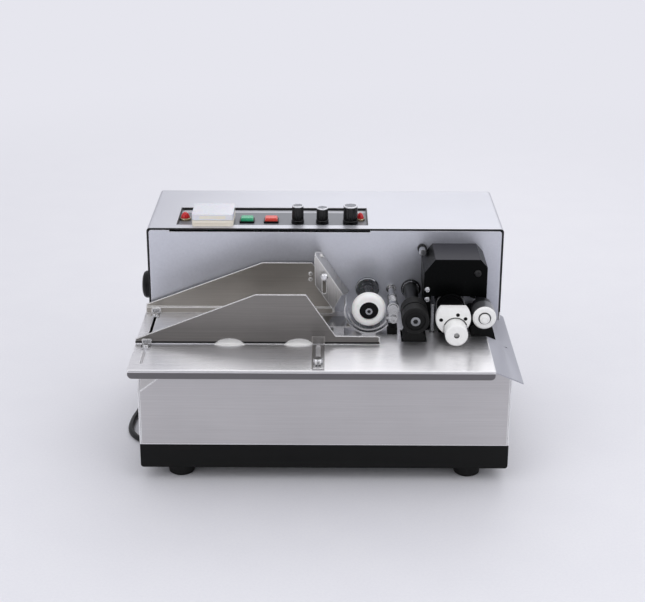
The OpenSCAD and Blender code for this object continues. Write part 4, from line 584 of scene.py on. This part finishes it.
# Moulded black ABS of the bezels and the side knob: black, half matt, finely textured
black_abs = finish("moulded_black_abs", ("#08080a", "#0e0e10"), rough=(0.3, 0.42), grain_mm=1.0,
                   relief_mm=0.004, Specular_IOR_Level=0.25)
dress(black_abs, "button_bezels", "potentiometers", "side_knob")
# The control knobs are glossier, and each carries a cap of spun aluminium
for knob, _ in KNOBS:
    capped = finish("moulded_black_abs_" + knob, ("#060607", "#0b0b0c"), rough=(0.14, 0.2), grain_mm=1.0,
                    relief_mm=0.001, Specular_IOR_Level=0.35, Coat_Weight=0.15, Coat_Roughness=0.1)
    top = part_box(knob)[1][2] / MM
    inlay(capped, ((None, None, top - KNOB_CAP), OPEN), "#75777d", rough=0.36, metallic=1.0)
    dress(capped, knob)

# Push-button caps in dyed ABS: glossy and even
BUTTON = {"rough": (0.22, 0.34), "grain_mm": 1.2, "relief_mm": 0.002}
dress(finish("moulded_green_abs", ("#38ab7c", "#48ba8b"), **BUTTON), "start_button")
dress(finish("moulded_red_abs", ("#e04f45", "#ea6055"), **BUTTON), "stop_button")
# Red acrylic under the lamps' lenses: dark and glossy, with a metal foot
red_lens = finish("red_acrylic_lens", ("#b8151b", "#c81f26"), rough=(0.08, 0.16), grain_mm=2, relief_mm=0.001)
inlay(red_lens, LAMP_FOOT, "#4a4039", rough=0.35, metallic=0.8)
dress(red_lens, "signal_lamps")

# Circuit board: green solder resist, with a soft shine
board_green = finish("green_solder_resist", ("#1f5a38", "#2a6a45"), rough=(0.3, 0.45), grain_mm=1.5,
                     relief_mm=0.01)
dress(board_green, "control_board")


def plain_rays(tree):
    """Share of rays that show the pale room: the camera's, and those off shiny or through clear surfaces."""
    path = add_node(tree, "LightPath")
    share = path.outputs["Is Camera Ray"]
    for kind in ("Is Glossy Ray", "Is Transmission Ray"):
        share = add_node(tree, "Math", {"operation": "MAXIMUM"}, _0=share, _1=path.outputs[kind]).outputs[0]
    return share


# Pale studio floor, one large sheet under the machine. Its matt paper keeps the machine's shadow, and further
# off it runs into the pale room without a line. In metres
ROOM = "#e6e6ee"
REACH = 12.0
RUN_OUT = (0.5, 2.0)
floor_mesh = bpy.data.meshes.new("studio_floor")
corners = [(-REACH, -REACH, 0), (REACH, -REACH, 0), (REACH, REACH, 0), (-REACH, REACH, 0)]
floor_mesh.from_pydata(corners, [], [(0, 1, 2, 3)])
floor = bpy.data.objects.new("studio_floor", floor_mesh)
scene.collection.objects.link(floor)
paper = finish("pale_studio_paper", ("#e8e8ed", "#ececf0"), rough=(0.7, 0.8), grain_mm=3, relief_mm=0.01)
tree = paper.node_tree
place = add_node(tree, "TexCoord").outputs["Object"]
away = add_node(tree, "VectorMath", {"operation": "LENGTH"}, _0=place)
far = add_node(tree, "MapRange", {"interpolation_type": "SMOOTHSTEP"}, Value=away.outputs["Value"],
               From_Min=RUN_OUT[0], From_Max=RUN_OUT[1])
share = add_node(tree, "Math", {"operation": "MULTIPLY"}, _0=far.outputs[0], _1=plain_rays(tree))
glow = add_node(tree, "Emission", Color=linear(ROOM))
mixed = add_node(tree, "MixShader", Fac=share.outputs[0], _1=tree.nodes["Principled BSDF"].outputs[0],
                 _2=glow.outputs[0])
tree.links.new(mixed.outputs[0], tree.nodes["Material Output"].inputs["Surface"])
floor_mesh.materials.append(paper)

# Pale room that gives an even soft light. In shiny surfaces it is darker on the working side than above and
# behind: the way to its bright side, where along that way it turns from dark to bright, and both strengths
ROOM_LIGHT = 0.72
BRIGHT_SIDE = (0.0, 0.6, 0.8)
BRIGHT_FROM = (-0.35, 0.5)
BRIGHT = (0.2, 0.78)
world = bpy.data.worlds.new("pale_studio")
scene.world = world
world.use_nodes = True
sky = world.node_tree
sky.nodes.clear()
way = add_node(sky, "TexCoord").outputs["Generated"]
towards = add_node(sky, "VectorMath", {"operation": "DOT_PRODUCT"}, _0=way, _1=BRIGHT_SIDE)
depth = add_node(sky, "MapRange", Value=towards.outputs["Value"], From_Min=BRIGHT_FROM[0],
                 From_Max=BRIGHT_FROM[1], To_Min=BRIGHT[0], To_Max=BRIGHT[1])
direct = add_node(sky, "LightPath").outputs["Is Camera Ray"]
strength = add_node(sky, "Math", {"operation": "MAXIMUM"}, _0=depth.outputs[0], _1=direct)
room = add_node(sky, "Background", Color=linear("#ececf2"), Strength=ROOM_LIGHT)
shown = add_node(sky, "Background", Color=linear(ROOM), Strength=strength.outputs[0])
mixed = add_node(sky, "MixShader", Fac=plain_rays(sky), _1=room.outputs[0], _2=shown.outputs[0])
add_node(sky, "OutputWorld", Surface=mixed.outputs[0])

# Four broad square lamps that face the machine: place and side in metres, and watts
LAMPS = (
    ("lamp_above", (0.3, -0.1, 1.7), 2.4, 7.0),
    ("lamp_left", (-1.5, -1.5, 1.2), 1.8, 11.0),
    ("lamp_right", (1.6, -1.3, 1.1), 1.8, 8.5),
    ("lamp_back", (0.3, 1.5, 1.45), 1.35, 7.4),
)
LAMP_AIM = Vector((0, 0, 0.12))
for name, spot, size, watts in LAMPS:
    lamp = bpy.data.lights.new(name, "AREA")
    lamp.size = size
    lamp.energy = watts
    light = bpy.data.objects.new(name, lamp)
    scene.collection.objects.link(light)
    light.location = spot
    light.rotation_euler = (LAMP_AIM - Vector(spot)).to_track_quat("-Z", "Y").to_euler()

bpy.context.view_layer.update()
